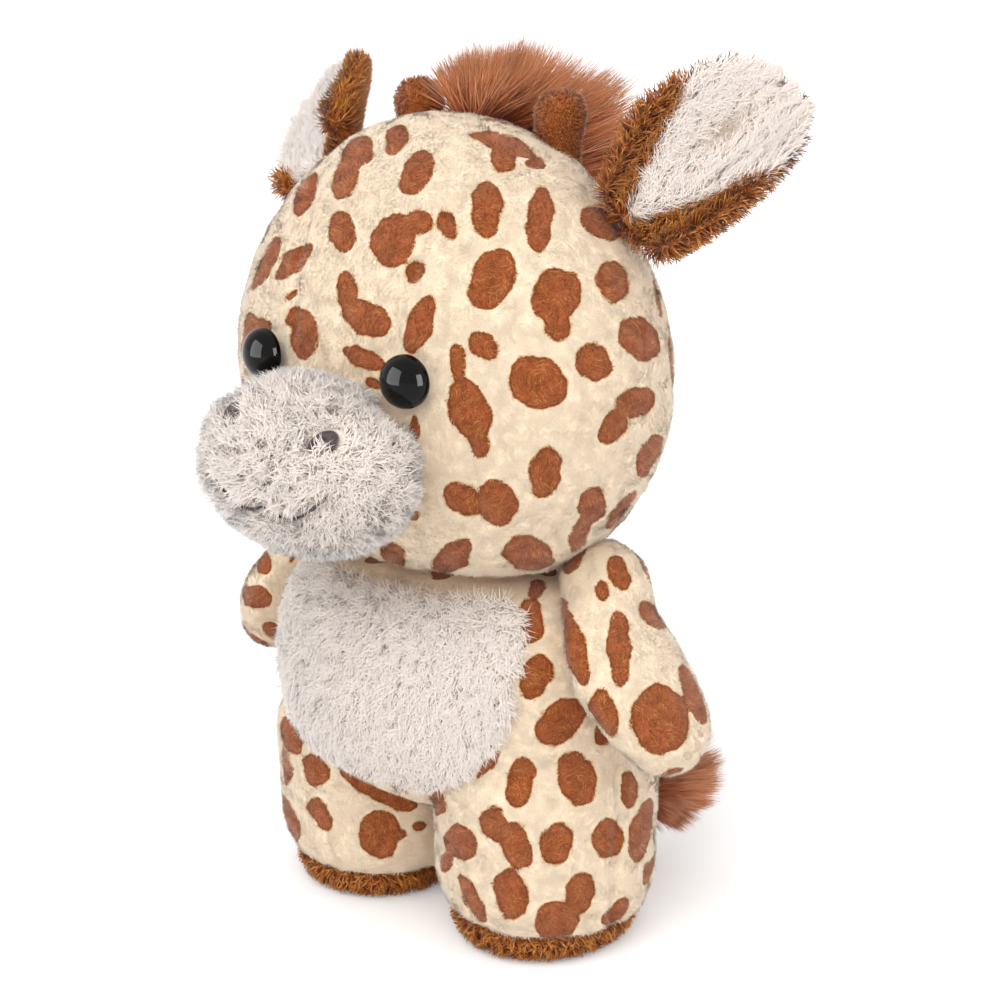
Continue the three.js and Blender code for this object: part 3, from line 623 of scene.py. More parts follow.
def spotted_pile(name, cover, spots, kept, body, seed):
    """Short matted pile on a cover, dyed along each fibre as the place above the spots"""
    draw = np.random.default_rng(seed)
    roots, facings = scattered(cover, printed_per_mm2, draw, kept)
    count = len(roots)
    swirl = np.stack([waves(roots, swirl_size, start) for start in (11.0, 23.0, 37.0)], 1)
    lean = towards(swirl * 2.6 + draw.normal(0, 0.55, (count, 3)) + (0, 0, -0.3), facings)
    # Crevices between the swirls: there the pile is shorter and its dye is moved darker, as painted shade, on
    # top of each fibre's own random tone
    crevice = waves(roots, swirl_size * 0.7, 51.0)
    length = draw.uniform(1.0, 1.7, count) * (1 + 0.25 * crevice)
    grain_and_shade = 0.75 * draw.uniform(-1, 1, count) + 0.5 * np.clip(crevice * 1.6, -1, 1)
    ragged = ragged_edge(roots)
    lay = 58
    tips = roots + lean * (length * math.sin(math.radians(lay)))[:, None]
    dye = np.stack([spot_dye(off_spots(at, facings, spots) + ragged, grain_and_shade) for at in (roots, tips)], 1)
    return pile(
        name, roots, facings, lean, (lay, lay), length, draw.uniform(0.2, 0.32, count), dye,
        spotted_fibres, body, "spotted_fabric",
    )


# The knitted ground and its short pile take the same print, the ground more matt than the pile
spotted_cloth = dyed_cloth("printed_polyester_plush_cloth", spotted_dyes, {
    "Roughness": 0.95, "Specular IOR Level": 0.12, "Sheen Weight": 0.25, "Sheen Roughness": 0.6,
})
spotted_fibres = dyed_pile("printed_polyester_plush_pile", spotted_dyes, fibre_depth_shade, {
    "Roughness": 0.85, "Specular IOR Level": 0.18, "Sheen Weight": 0.4, "Sheen Roughness": 0.5,
})

torso_rows = [
    ((0, torso_back, z), (wide - cover_inset, 0, 0), (0, deep - cover_inset, 0))
    for z, wide, deep in eased([
        *((neck_height * up, torso_half_width * wide, torso_half_depth * deep)
          for up, wide, deep in torso_shares),
        (neck_height, neck_radius, neck_radius),
    ], 44)
]
leg_parts = []
for side in (1, -1):
    leg_parts.append(lofted([
        ((side * leg_out, leg_back, z), (wide + leg_swell - cover_inset, 0, 0), (0, deep - cover_inset, 0))
        for z, wide, deep in eased([
            (leg_bottom, sole_half_width, sole_half_depth),
            *((leg_top * up, leg_half_width * wide, leg_half_depth * deep) for up, wide, deep in leg_shares),
        ], 30)
    ]))
body_cover = joined_skin("body_cover", [lofted(torso_rows), *leg_parts], cover_voxel, 14, spotted_cloth)
body_surface = surface_of(body_cover)
crimped(body_cover, crimp_sizes, lambda points: (
    seam_dent(near_line(points, body_surface, leg_seam))
    + seam_dent(near_line(points, body_surface, leg_seam, mirror=True))
))
body_spots = printed(body_cover, body_surface, body_marks, 11)
stands_for(body_cover, "torso", "body_skin")

# Belly shield. A white panel of longer, silky pile let into the front of the body cover by a seam
# all round; its pile is ragged and falls over the seam.
shield_half_width, shield_top, shield_foot, shield_dip = 36.3, 90, 49, 3.0
shield_shoulder, shield_corner = 10, 21
shield_lift, shield_thickness, pile_overhang = 0.2, 1.3, 0.3
# The darkest white, at 0, is only reached in the ears' hollows, where it is painted shade
white_dyes = ((0.0, "#C9B5A4"), (0.14, "#FAEADE"), (0.5, "#FFF1E7"), (1.0, "#FFF7F0"))
white_depth_shade = ((0.0, "#F3ECE6"), (0.4, "#FBF8F5"), (1.0, "#FFFFFF"))
white_tuft = 2.6
even_dye = 0.4


def on_shield(points, facings, grow=0.0):
    """True for the places of the body's front that the shield covers, grown by that margin"""
    x, z = np.abs(points[:, 0]), points[:, 2]
    half = shield_half_width + grow
    top, foot = shield_top + grow, shield_foot - grow
    foot = foot - shield_dip * np.cos(np.clip(x / half, 0, 1) * math.pi / 2)
    inside = (x < half) & (z < top) & (z > foot) & (facings[:, 1] < 0.1)
    for corner, level, sign in ((shield_shoulder, top, 1), (shield_corner, foot, -1)):
        dx, dz = x - (half - corner), sign * (z - level) + corner
        inside &= ~((dx > 0) & (dz > 0) & (np.hypot(dx, dz) > corner))
    return inside


# Knitted polyester backing of the boa: matt, off-white, and only seen between the fibres
white_cloth = dyed_cloth("white_polyester_boa_cloth", white_dyes, {
    "Roughness": 0.95, "Specular IOR Level": 0.12, "Sheen Weight": 0.2, "Sheen Roughness": 0.6,
})
# Brushed polyester boa: silky, off-white with a touch of pink where it is thick; painted shade darkens each
# fibre towards its root
white_fibres = dyed_pile("white_polyester_boa_pile", white_dyes, white_depth_shade, {
    "Roughness": 0.6, "Specular IOR Level": 0.3, "Sheen Weight": 1.0, "Sheen Roughness": 0.5,
})


def cut_out(name, cover, chosen, lift, thickness, finish):
    """A panel of its own over the chosen points of a cover, closed at its back"""
    points, facings = numbers(cover, "co"), numbers(cover, "normal")
    corners = np.empty(len(cover.data.loops), np.int32)
    cover.data.loops.foreach_get("vertex_index", corners)
    quads = corners.reshape(-1, 4)
    quads = quads[chosen(points, facings)[quads].all(1)]
    used, quads = np.unique(quads, return_inverse=True)
    panel = sewn(name, points[used] + facings[used] * lift, [quads.reshape(-1, 4)], finish)
    solidify = panel.modifiers.new("cloth_and_backing", "SOLIDIFY")
    solidify.thickness = thickness * mm
    solidify.offset = -1
    graph = bpy.context.evaluated_depsgraph_get()
    panel.data = bpy.data.meshes.new_from_object(panel.evaluated_get(graph))
    panel.modifiers.clear()
    return panel


def clumped(roots, size, draw):
    """The way from each root to the middle of its tuft; tufts are about size millimetres wide"""
    cells = np.floor((roots + draw.normal(0, size * 0.12, roots.shape)) / size).astype(np.int64)
    _, group = np.unique(cells, axis=0, return_inverse=True)
    group = group.ravel()
    count = np.bincount(group)
    middles = np.stack([np.bincount(group, roots[:, i]) / count for i in range(3)], 1)
    return (middles[group] - roots) / size, draw.normal(0, 1, middles.shape)[group]


def silky_pile(
    name, cover, kept, body, seed, per_mm2, lengths, fall, trim=None, lay=(34, 78), loose=0.5,
):
    """Fine white pile in loose tufts; fall is the way that it tends to lie, and trim gives the
    share of its length that is left and how much painted shade darkens it"""
    draw = np.random.default_rng(seed)
    roots, facings = scattered(cover, per_mm2, draw, kept)
    count = len(roots)
    inward, common = clumped(roots, white_tuft, draw)
    lean = inward + common * 0.6 + fall(roots, facings) + draw.normal(0, loose, (count, 3))
    length, dye = draw.uniform(*lengths, count), draw.uniform(0.15, 0.97, count)
    if trim:
        left_over, painted_shade = trim(roots)
        length, dye = length * left_over, dye * (1 - painted_shade)
    return pile(
        name, roots, facings, lean, lay, length, draw.uniform(0.19, 0.3, count), dye, white_fibres, body,
        "white_pile", rings=2, curl=draw.normal(0, 0.6, count), roundness=0.25,
    )


belly_panel = cut_out("belly_shield", body_cover, on_shield, shield_lift, shield_thickness, white_cloth)
painted(belly_panel, even_dye)
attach(belly_panel, "torso")
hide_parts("belly_panel")
for side_name, side, seed in (("left", 1, 21), ("right", -1, 22)):
    silky_pile(
        f"belly_shield_pile_{side_name}", belly_panel,
        lambda roots, facings, s=side: (
            on_shield(roots, facings, pile_overhang) & (facings[:, 1] < 0.3) & (roots[:, 0] * s > 0)
        ),
        "torso", seed, 9.5, (3.0, 5.2), lambda roots, facings: np.array((0, 0, -1.3)),
    )

under_neck = 91.5
quarters = (("front_left", 1, -1), ("front_right", -1, -1), ("back_left", 1, 1), ("back_right", -1, 1))
for number, (quarter, side, rear) in enumerate(quarters):
    spotted_pile(
        f"body_pile_{quarter}", body_cover, body_spots,
        lambda roots, facings, s=side, r=rear: (
            (roots[:, 0] * s > 0) & ((roots[:, 1] - torso_back) * r > 0)
            & (roots[:, 2] < under_neck) & (roots[:, 2] > leg_bottom + 0.2) & ~on_shield(roots, facings)
        ),
        "torso", 13 + number,
    )

# Soles. Two padded discs cut from shaggy golden-brown pile and sewn all round to the open ends of
# the legs; the toy stands on their flat undersides.
sole_height, sole_inset = 8, 2.2
sole_shares = ((0, 0.66), (0.12, 0.82), (0.3, 0.93), (0.6, 1), (0.9, 1.0), (1, 0.96))
brown_dyes = ((0.0, "#86460F"), (0.3, "#A35C18"), (0.6, "#BB7328"), (0.85, "#CF9044"), (1.0, "#DFAE6C"))
brown_depth_shade = ((0.0, "#8E6A40"), (0.4, "#D2B290"), (0.8, "#FFFFFF"), (1.0, "#FFFFFF"))
brown_tuft = 2.3
sole_seam = 0.9
# Knitted backing of the shaggy fur: matt and brown, dark where it shows between the tufts
brown_cloth = dyed_cloth("golden_brown_shag_cloth", brown_dyes, {
    "Roughness": 0.95, "Specular IOR Level": 0.12, "Sheen Weight": 0.2, "Sheen Roughness": 0.6,
})
# Shaggy polyester fur: golden-brown tufts, slightly glossy, with painted shade that darkens them towards
# their roots
brown_fibres = dyed_pile("golden_brown_shag_pile", brown_dyes, brown_depth_shade, {
    "Roughness": 0.6, "Specular IOR Level": 0.2, "Sheen Weight": 0.08, "Sheen Roughness": 0.4,
})


def mixed_dyes(draw, count, spread=0.22):
    """A fibre's place in its dyes: most are near the middle"""
    return np.clip(draw.normal(0.5, spread, count), 0.02, 0.98)


def shaggy_pile(name, roots, facings, fall, body, draw, lengths=(3.0, 4.8), lay=(18, 66), floor=None):
    """Brown pile in flame-like tufts that come together at their tips; none goes below the floor"""
    count = len(roots)
    inward, common = clumped(roots, brown_tuft, draw)
    lean = inward * 1.6 + common * 0.4 + fall * 1.4 + draw.normal(0, 0.2, (count, 3))
    made = pile(
        name, roots, facings, lean, lay, draw.uniform(*lengths, count), draw.uniform(0.28, 0.42, count),
        mixed_dyes(draw, count), brown_fibres, body, "brown_pile", rings=3,
        curl=draw.normal(0, 0.35, count), roundness=0.9,
    )
    if floor is not None:
        points = numbers(made, "co")
        points[:, 2] = np.maximum(points[:, 2], floor)
        made.data.vertices.foreach_set("co", (points * mm).ravel())
        made.data.update()
    return made


for side_name, side, seed in (("left", 1, 31), ("right", -1, 32)):
    sole = sewn(f"sole_cover_{side_name}", *lofted([
        ((side * leg_out, leg_back, sole_height * up),
         (sole_half_width * wide - sole_inset, 0, 0), (0, sole_half_depth * wide - sole_inset, 0))
        for up, wide in eased(sole_shares, 14)
    ]), brown_cloth, "torso", "brown_pile")
    painted(sole, even_dye)
    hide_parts(f"sole_{side_name}")
    draw = np.random.default_rng(seed)
    roots, facings = scattered(
        sole, 3.4, draw, lambda roots, facings: (roots[:, 2] > sole_seam) & (facings[:, 2] < 0.9),
    )
    shaggy_pile(
        f"sole_pile_{side_name}", roots, facings, np.array((0, 0, -0.5)), "torso", draw,
        lengths=(2.4, 4.0), lay=(26, 80), floor=0.15,
    )

# Arms. Flat mittens of the spotted plush, stuffed and sewn on at the shoulder, where a round root
# lets them lift away from the side.
arm_pivot = np.array((43.98, 7.453, 90.5))
arm_length, arm_half_width, arm_half_thickness, arm_root = 47, 15, 10, 10
limb_voxel = 0.8
arm_rises = {1: np.array((-1.6, 0, 1.9)), -1: np.array((-4.2, 0, 2.6))}
arm_shares = (
    (0.22, 1.0, 0.82, 3.5), (0.45, 1.18, 0.97, 3.3), (0.66, 1.09, 0.98, 1.4), (0.83, 0.87, 0.86, 0.2),
    (0.94, 0.57, 0.6, 0), (1, 0.2, 0.22, 0),
)
arm_thick_way = np.array((0.866, 0, 0.5))
arm_wide_way = np.array((-0.061, -0.9925, 0.1055))
arm_down_way = np.array((0.5570, -0.1219, -0.8215))
near_arm_marks = (
    (575, 648, 74, 22, 75), (619, 648, 76, 23, 88), (653, 616, 36, 20, 40), (602, 591, 18, 12, 80),
    (619, 573, 36, 20, 75), (661, 720, 68, 57, 80), (693, 695, 62, 18, 68), (604, 712, 50, 25, 74),
    (670, 773, 26, 5, 160),
)
far_arm_marks = (
    (263, 561, 28, 14, 80), (292, 558, 10, 4, 120), (255, 597, 34, 22, 15), (272, 630, 18, 14, 30),
)
arm_rows = []
for angle in np.radians((8, 30, 55, 80)):
    radius = arm_root * math.sin(angle)
    arm_rows.append((-arm_root * math.cos(angle), radius, radius, 0))
arm_rows += [
    (arm_length * along, (arm_half_width - cover_inset) * wide,
     (arm_half_thickness - cover_inset) * thick, ahead)
    for along, wide, thick, ahead in arm_shares
]
for side_name, side, marks, seed in (("left", 1, near_arm_marks, 41), ("right", -1, far_arm_marks, 44)):
    mirror = np.array((side, 1, 1))
    arm_form = lofted([
        ((arm_pivot + arm_rises[side] + arm_down_way * along + arm_wide_way * ahead) * mirror,
         arm_thick_way * thick * mirror, arm_wide_way * wide * side * mirror)
        for along, wide, thick, ahead in eased(arm_rows, 40)
    ])
    arm = joined_skin(f"arm_cover_{side_name}", [arm_form], limb_voxel, 8, spotted_cloth)
    arm_surface = surface_of(arm)
    crimped(arm, crimp_sizes)
    arm_spots = printed(arm, arm_surface, marks, seed)
    stands_for(arm, f"arm_{side_name}", f"arm_skin_{side_name}")
    spotted_pile(
        f"arm_pile_{side_name}", arm, arm_spots,
        lambda roots, facings, p=arm_pivot * mirror: np.linalg.norm(roots - p, axis=1) > arm_root * 0.7,
        f"arm_{side_name}", seed + 2,
    )

# Head cover. The same spotted plush sewn from shaped panels into a wide oval, stuffed round; the
# seam of the face panel and a short dart in the cheek show as soft creases.
head_middle = np.array((0, 1.953, 142.3))
head_radii = np.array((57, 40, 55.5))
head_fullness, cheek_fullness = 2.5, 2.25
head_inset = np.array((1.0, 1.0, -0.2))
head_taper = 0.06
head_bottom = 94.9
head_marks = (
    (358, 151, 34, 27, 125), (346, 178, 44, 22, 113), (397, 140, 31, 22, 118), (417, 172, 46, 27, 114),
    (306, 194, 46, 20, 115), (342, 231, 40, 26, 85), (395, 240, 52, 44, 120), (418, 223, 30, 24, 150),
    (416, 271, 24, 17, 110), (447, 225, 30, 18, 62), (348, 292, 46, 18, 85), (366, 318, 50, 32, 30),
    (305, 334, 50, 27, 82), (293, 316, 22, 14, 120), (292, 296, 16, 6, 135), (266, 264, 60, 14, 117),
    (294, 262, 48, 18, 137), (250, 338, 50, 20, 95), (261, 325, 22, 10, 20), (364, 358, 44, 18, 25),
    (373, 383, 14, 8, 30), (420, 325, 60, 24, 112), (463, 112, 64, 9, 0), (406, 117, 42, 5, 163),
    (372, 122, 16, 8, 150), (506, 145, 58, 17, 22), (503, 161, 26, 24, 90), (535, 165, 22, 10, 15),
    (475, 135, 14, 7, 5), (487, 209, 55, 30, 88), (540, 221, 65, 24, 95), (492, 280, 62, 42, 120),
    (557, 295, 56, 47, 100), (558, 325, 36, 28, 90), (601, 224, 45, 25, 30), (613, 283, 40, 30, 75),
    (657, 295, 50, 6, 78), (639, 338, 48, 34, 52), (594, 362, 35, 33, 20), (538, 382, 58, 48, 15),
    (635, 402, 42, 30, 170), (613, 426, 36, 24, 120), (671, 360, 50, 7, 85), (545, 473, 52, 31, 95),
    (650, 457, 48, 22, 115), (592, 504, 36, 27, 100), (581, 532, 44, 16, 112), (621, 510, 46, 14, 127),
    (458, 365, 38, 15, 85), (470, 410, 66, 38, 70), (479, 440, 32, 20, 80), (484, 345, 36, 24, 55),
    (415, 430, 34, 8, 88), (497, 503, 44, 40, 80), (466, 499, 44, 28, 30), (453, 557, 48, 27, 135),
    (529, 554, 52, 34, 20), (393, 558, 30, 22, 60), (405, 572, 14, 6, 15), (414, 515, 6, 5, 0),
    (229, 383, 10, 4, 90),
)
face_seam = (
    (560, 158), (520, 169), (490, 178), (462, 198), (432, 231), (417, 261), (409, 283), (398, 313),
    (394, 330), (388, 352),
)
cheek_dart = ((470, 445), (474, 490), (482, 522))


def oval(middle, radii, fullness=2.0, across=96, down=64):
    """A closed oval; a fullness above 2 squares its plan a little, as round cheeks do"""
    rows = []
    turn = np.linspace(0, 2 * math.pi, across, endpoint=False)
    ring = np.stack((np.cos(turn), np.sin(turn)), 1)
    ring /= (np.abs(ring) ** fullness).sum(1)[:, None] ** (1 / fullness)
    fall = np.linspace(math.pi, 0, down + 1)[1:-1]
    for angle in fall:
        rows.append(np.column_stack((ring * math.sin(angle), np.full(across, math.cos(angle)))))
    points = np.concatenate([*rows, [(0, 0, -1)], [(0, 0, 1)]]) * radii + middle
    _, faces = lofted([((0, 0, 0), (0, 0, 0), (0, 0, 0))] * len(rows), across)
    return points, faces


head_points, head_faces = oval(head_middle, head_radii - head_inset, cheek_fullness)
head_share = (head_points[:, 2:] - head_middle[2]) / head_radii[2]
head_points[:, :2] *= 1 - head_taper * head_share
head_points[:, 2] = np.maximum(head_points[:, 2], head_bottom)
head_cover = joined_skin("head_cover", [(head_points, head_faces)], cover_voxel, 8, spotted_cloth)
head_surface = surface_of(head_cover)
crimped(head_cover, crimp_sizes, lambda points: sum(
    seam_dent(near_line(points, head_surface, seam, mirror))
    for seam in (face_seam, cheek_dart) for mirror in (False, True)
))
head_spots = printed(head_cover, head_surface, head_marks, 51)
stands_for(head_cover, "head", "head_skin")

muzzle_middle = np.array((0, -46.6, 125.0))
muzzle_radii = np.array((25.6, 15.2, 17.8))
muzzle_fullness = 2.4
muzzle_gathers = ((6.0, 0.5), (2.6, 0.2))
muzzle_voxel = 0.9
eye_out, eye_height, eye_radius = 21.5, 145.5, 6


def seat_on(middle, radii, fullness, x, z):
    """The point of an oval's front at a distance from the middle line and a height, and its facing"""
    across, up = abs(x - middle[0]) / radii[0], (z - middle[2]) / radii[2]
    level = math.sqrt(1 - up * up)
    ahead = (level**fullness - across**fullness) ** (1 / fullness)
    point = np.array((x, middle[1] - radii[1] * ahead, z))
    ease, slope = level ** (2 - fullness), fullness - 1
    facing = np.array((
        math.copysign(ease * across**slope, x) / radii[0], -ease * ahead**slope / radii[1], up / radii[2],
    ))
    return point, facing / np.linalg.norm(facing)


eye_seats = {
    name: seat_on(head_middle, head_radii, head_fullness, side * eye_out, eye_height)
    for name, side in (("left", 1), ("right", -1))
}


def out_from(points, middle, radii):
    """Less than 1 inside an oval, 1 on it and more outside"""
    return (((points - middle) / radii) ** 2).sum(1)


def bare_head(roots, facings):
    """False where the muzzle, an eye or the neck covers the head"""
    kept = (roots[:, 2] > head_bottom + 0.6)
    kept &= out_from(roots, muzzle_middle, muzzle_radii - 0.5) > 1
    for seat, _ in eye_seats.values():
        kept &= np.linalg.norm(roots - seat, axis=1) > eye_radius + 0.2
    return kept


for number, (quarter, side, rear) in enumerate(quarters):
    spotted_pile(
        f"head_pile_{quarter}", head_cover, head_spots,
        lambda roots, facings, s=side, r=rear: (
            (roots[:, 0] * s > 0) & ((roots[:, 1] - head_middle[1]) * r > 0) & bare_head(roots, facings)
        ),
        "head", 53 + number,
    )

# Muzzle. A pad of fluffy white pile, gathered at its edge, stuffed with fibre and sewn on the face
# all round, with the nostrils and the smile stitched through its pile.
muzzle = joined_skin(
    "muzzle_cover", [oval(muzzle_middle, muzzle_radii, muzzle_fullness, 72, 40)], muzzle_voxel, 6,
    white_cloth,
)
crimped(muzzle, muzzle_gathers)
painted(muzzle, even_dye)
stands_for(muzzle, "head", "muzzle_skin")
face_middle, nostril_out, nostril_radius, nostril_half = 1.5, 13.8, 1.95, 0.85
nostril_heights = {1: 133.8, -1: 135.5}
mouth_height, mouth_dip, mouth_rise, mouth_end, mouth_parting = 119.2, 2.2, 5.0, 16.7, 0.6


def smile_height(part):
    """The height of the smile's line, from the middle, 0, to its corner, 1"""
    return mouth_height - mouth_dip * np.sin(np.pi * part) + mouth_rise * part**2


def off_stitches(roots):
    """How far places are off the embroidery, and the way that leads away from it; the pile that
    grows under a nostril hangs free over its lower edge"""
    side = np.sign(roots[:, 0] - face_middle)
    x, z = np.abs(roots[:, 0] - face_middle), roots[:, 2]
    right, up = x - nostril_out, z - np.where(side > 0, nostril_heights[1], nostril_heights[-1])
    reach = np.hypot(right, up) + 1e-6
    off_nostril = np.where(up > -0.4 * reach, reach - nostril_radius - nostril_half, 9)
    part = np.clip((x - mouth_parting) / (mouth_end - mouth_parting), 0, 1)
    above, beyond = z - smile_height(part), np.maximum(x - mouth_end, 0)
    off_mouth = np.hypot(above, beyond) + 1e-6
    level = np.zeros(len(roots))
    way = np.where(
        (off_nostril < off_mouth)[:, None],
        np.stack((right * side, level, up), 1) / reach[:, None],
        np.stack((beyond * side, level, above), 1) / off_mouth[:, None],
    )
    return np.minimum(off_nostril, off_mouth), way


def muzzle_fall(roots, facings):
    """The muzzle's pile stands out all round and is brushed away from the stitches"""
    off, way = off_stitches(roots)
    return (roots - muzzle_middle) * 0.02 + way * (2.4 * np.clip(1 - off / 3, 0, 1))[:, None]


def muzzle_trim(roots):
    """It is clipped short beside the stitches"""
    off, _ = off_stitches(roots)
    return np.clip(0.25 + 0.75 * off / 3, 0.25, 1), 0


for side_name, side, seed in (("left", 1, 61), ("right", -1, 62)):
    silky_pile(
        f"muzzle_pile_{side_name}", muzzle,
        lambda roots, facings, s=side: (
            (roots[:, 1] < muzzle_middle[1] + 11) & (off_stitches(roots)[0] > 0.35) & (roots[:, 0] * s > 0)
        ),
        "head", seed, 8.6, (3.6, 6.2), muzzle_fall, muzzle_trim, lay=(24, 72),
    )

# Eyes. Safety eyes, moulded from black acrylic with a polished dome; a ribbed shank goes through
# the cloth and a star washer locks it from behind.
eye_dome, eye_rim, shank_radius, shank_length, rib_depth, rib_count = 4.6, 0.9, 1.7, 9.5, 0.3, 4
eye_lift = 0.4625
washer_depth = 2.8625
dome_steps = 28
# Polished acrylic: black to the depth, with sharp window highlights and a pale rim of reflection
polished_black, _, _ = new_finish("polished_black_acrylic", {
    "Base Color": linear("#040303"), "Roughness": 0.04, "IOR": 1.49, "Specular IOR Level": 0.2,
})
eye_tree = polished_black.node_tree
eye_place = add(eye_tree, "ShaderNodeTexCoord")
eye_handling = add(eye_tree, "ShaderNodeTexNoise", {"Scale": 900.0, "Detail": 4.0}, {
    "Vector": eye_place.outputs["Object"],
})
eye_wear = add(eye_tree, "ShaderNodeMapRange", {
    "From Min": 0.35, "From Max": 0.8, "To Min": 0.03, "To Max": 0.09,
}, {"Value": eye_handling.outputs["Fac"]})
eye_tree.links.new(eye_wear.outputs["Result"], eye_tree.nodes["Principled BSDF"].inputs["Roughness"])
eye_profile = [(0.01, -shank_length), (shank_radius * 0.8, -shank_length)]
rib_pitch = (shank_length - washer_depth / 2) / (rib_count + 1)
for rib in range(rib_count):
    start = -shank_length + rib_pitch * (rib + 0.5)
    eye_profile += [(shank_radius, start), (shank_radius + rib_depth, start + rib_pitch / 2)]
eye_profile += [(shank_radius, -washer_depth / 2), (shank_radius, 0), (eye_radius - eye_rim / 2, 0)]
eye_profile += [(eye_radius, eye_rim / 2), (eye_radius, eye_rim)]
eye_profile += [
    (eye_radius * math.cos(angle), eye_rim + eye_dome * math.sin(angle))
    for angle in np.linspace(0, math.pi / 2, dome_steps + 1)[1:-1]
]
eye_profile.append((0.01, eye_rim + eye_dome))
for side_name, (seat, facing) in eye_seats.items():
    level = np.cross((0, 0, 1), facing)
    level /= np.linalg.norm(level)
    upright = np.cross(facing, level)
    eye = sewn(f"safety_eye_{side_name}", *lofted([
        (seat + facing * (eye_lift + along), level * radius, upright * radius)
        for radius, along in eye_profile
    ], 64), polished_black, "head", "eye_black")
    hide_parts(f"eye_{side_name}")
# Washers stay the frame's own solids: natural polyethylene, milky and waxy
natural_plastic, plastic_tree, plastic_shader = new_finish("natural_polyethylene", {
    "Roughness": 0.45, "IOR": 1.51, "Subsurface Weight": 0.15, "Subsurface Radius": (0.001, 0.001, 0.001),
})
plastic_cloud = add(plastic_tree, "ShaderNodeTexNoise", {"Scale": 400.0, "Detail": 2.0})
plastic_tone = add(plastic_tree, "ShaderNodeValToRGB", {"stops": ((0.3, "#E4E3DC"), (0.7, "#F0EFEA"))}, {
    "Fac": plastic_cloud.outputs["Fac"],
})
plastic_tree.links.new(plastic_tone.outputs["Color"], plastic_shader.inputs["Base Color"])
for side_name in eye_seats:
    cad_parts[f"eye_washer_{side_name}"].material_slots[0].material = natural_plastic

# Nostrils and mouth. Embroidered through the muzzle's pile: satin stitch for the nostrils, in a
# dark maroon thread, and a fine black line of backstitch for the smile.
stitch_lift = 1.2
# Rayon thread: twisted, with a soft shine that runs across each stitch
maroon_thread, maroon_tree, maroon_shader = new_finish("maroon_rayon_satin_stitch", {
    "Roughness": 0.38, "Specular IOR Level": 0.45, "Sheen Weight": 0.3, "Anisotropic": 0.4,
})
black_thread, black_tree, black_shader = new_finish("black_rayon_backstitch", {
    "Roughness": 0.45, "Specular IOR Level": 0.4, "Sheen Weight": 0.2,
})
for tree, shader, tones in (
    (maroon_tree, maroon_shader, ((0.3, "#1E0D12"), (0.55, "#351A20"), (0.8, "#553038"))),
    (black_tree, black_shader, ((0.3, "#0B090A"), (0.8, "#262022"))),
):
    ply = add(tree, "ShaderNodeTexNoise", {"Scale": 1 / (0.35 * mm), "Detail": 2.0})
    tone = add(tree, "ShaderNodeValToRGB", {"stops": tones}, {"Fac": ply.outputs["Fac"]})
    relief = add(tree, "ShaderNodeBump", {"Strength": 0.6, "Distance": 0.08 * mm}, {
        "Height": ply.outputs["Fac"],
    })
    tree.links.new(tone.outputs["Color"], shader.inputs["Base Color"])
    tree.links.new(relief.outputs["Normal"], shader.inputs["Normal"])


def on_muzzle(x, z, lift):
    """A place on the muzzle's pile and the way it faces"""
    point, facing = seat_on(muzzle_middle, muzzle_radii, muzzle_fullness, x, z)
    return point + facing * lift, facing


def stitch(start, end, facing, radius, rise):
    """One stitch: a short thread that dips into the cloth at both ends"""
    way = end - start
    span = np.linalg.norm(way)
    side = np.cross(facing, way / span)
    rows = []
    for part in np.linspace(0, 1, 7):
        swell = math.sin(math.pi * np.clip(part, 0.06, 0.94)) ** 0.5
        middle = start + way * part + facing * (rise * (math.sin(math.pi * part) - 0.7))
        rows.append((middle, side * radius * swell, facing * radius * swell))
    return lofted(rows, 8)


def stitched(name, stitches, finish, node):
    """All stitches of one motif as one piece on the head"""
    points, faces, count = [], [], 0
    for part_points, part_faces in stitches:
        points.append(part_points)
        faces += [group + count for group in part_faces]
        count += len(part_points)
    motif = sewn(name, np.concatenate(points), faces, finish, "head", "dark_thread")
    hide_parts(node)


for side_name, side in (("left", 1), ("right", -1)):
    stitches = []
    for angle in np.radians(np.linspace(204, -24, 34)):
        ends = []
        for reach in (nostril_radius - nostril_half, nostril_radius + nostril_half):
            x = face_middle + side * (nostril_out + reach * math.cos(angle))
            ends.append(on_muzzle(x, nostril_heights[side] + reach * math.sin(angle), stitch_lift))
        stitches.append(stitch(ends[0][0], ends[1][0], ends[0][1], 0.24, 0.6))
    stitched(f"nostril_stitches_{side_name}", stitches, maroon_thread, f"nostril_{side_name}")
    stops = []
    for part in np.linspace(0, 1, 8):
        x = face_middle + side * (mouth_parting + (mouth_end - mouth_parting) * part)
        stops.append(on_muzzle(x, smile_height(part), stitch_lift))
    stitches = [
        stitch(a - (b - a) * 0.12, b + (b - a) * 0.12, facing, 0.4, 0.35)
        for (a, facing), (b, _) in zip(stops[:-1], stops[1:])
    ]
    stitched(f"mouth_stitches_{side_name}", stitches, black_thread, f"mouth_{side_name}")

# Horns. Small knobs of brown velvet, sewn as tubes with a round head, turned, stuffed and sewn
# upright on the crown.
horn_foot = np.array((20.1, 15.8, 177.4))
horn_height, horn_radius, horn_lean = 26, 6.1, math.radians(4)
horn_inset, horn_dye, horn_tuft = 0.8, 0.35, 1.7
horn_shares = ((-0.1, 0.9), (0.3, 0.88), (0.62, 0.9), (0.78, 1), (0.9, 0.9), (0.97, 0.62), (1, 0.25))
horn_dyes = ((0.0, "#8A4410"), (0.5, "#B4662A"), (0.85, "#CC803A"), (1.0, "#DA9A56"))
# Ground of the velvet: the same brown, matt, seen only through its thinnest places
horn_cloth = dyed_cloth("brown_polyester_velvet_cloth", horn_dyes, {
    "Roughness": 0.9, "Specular IOR Level": 0.15, "Sheen Weight": 0.5, "Sheen Roughness": 0.4,
})
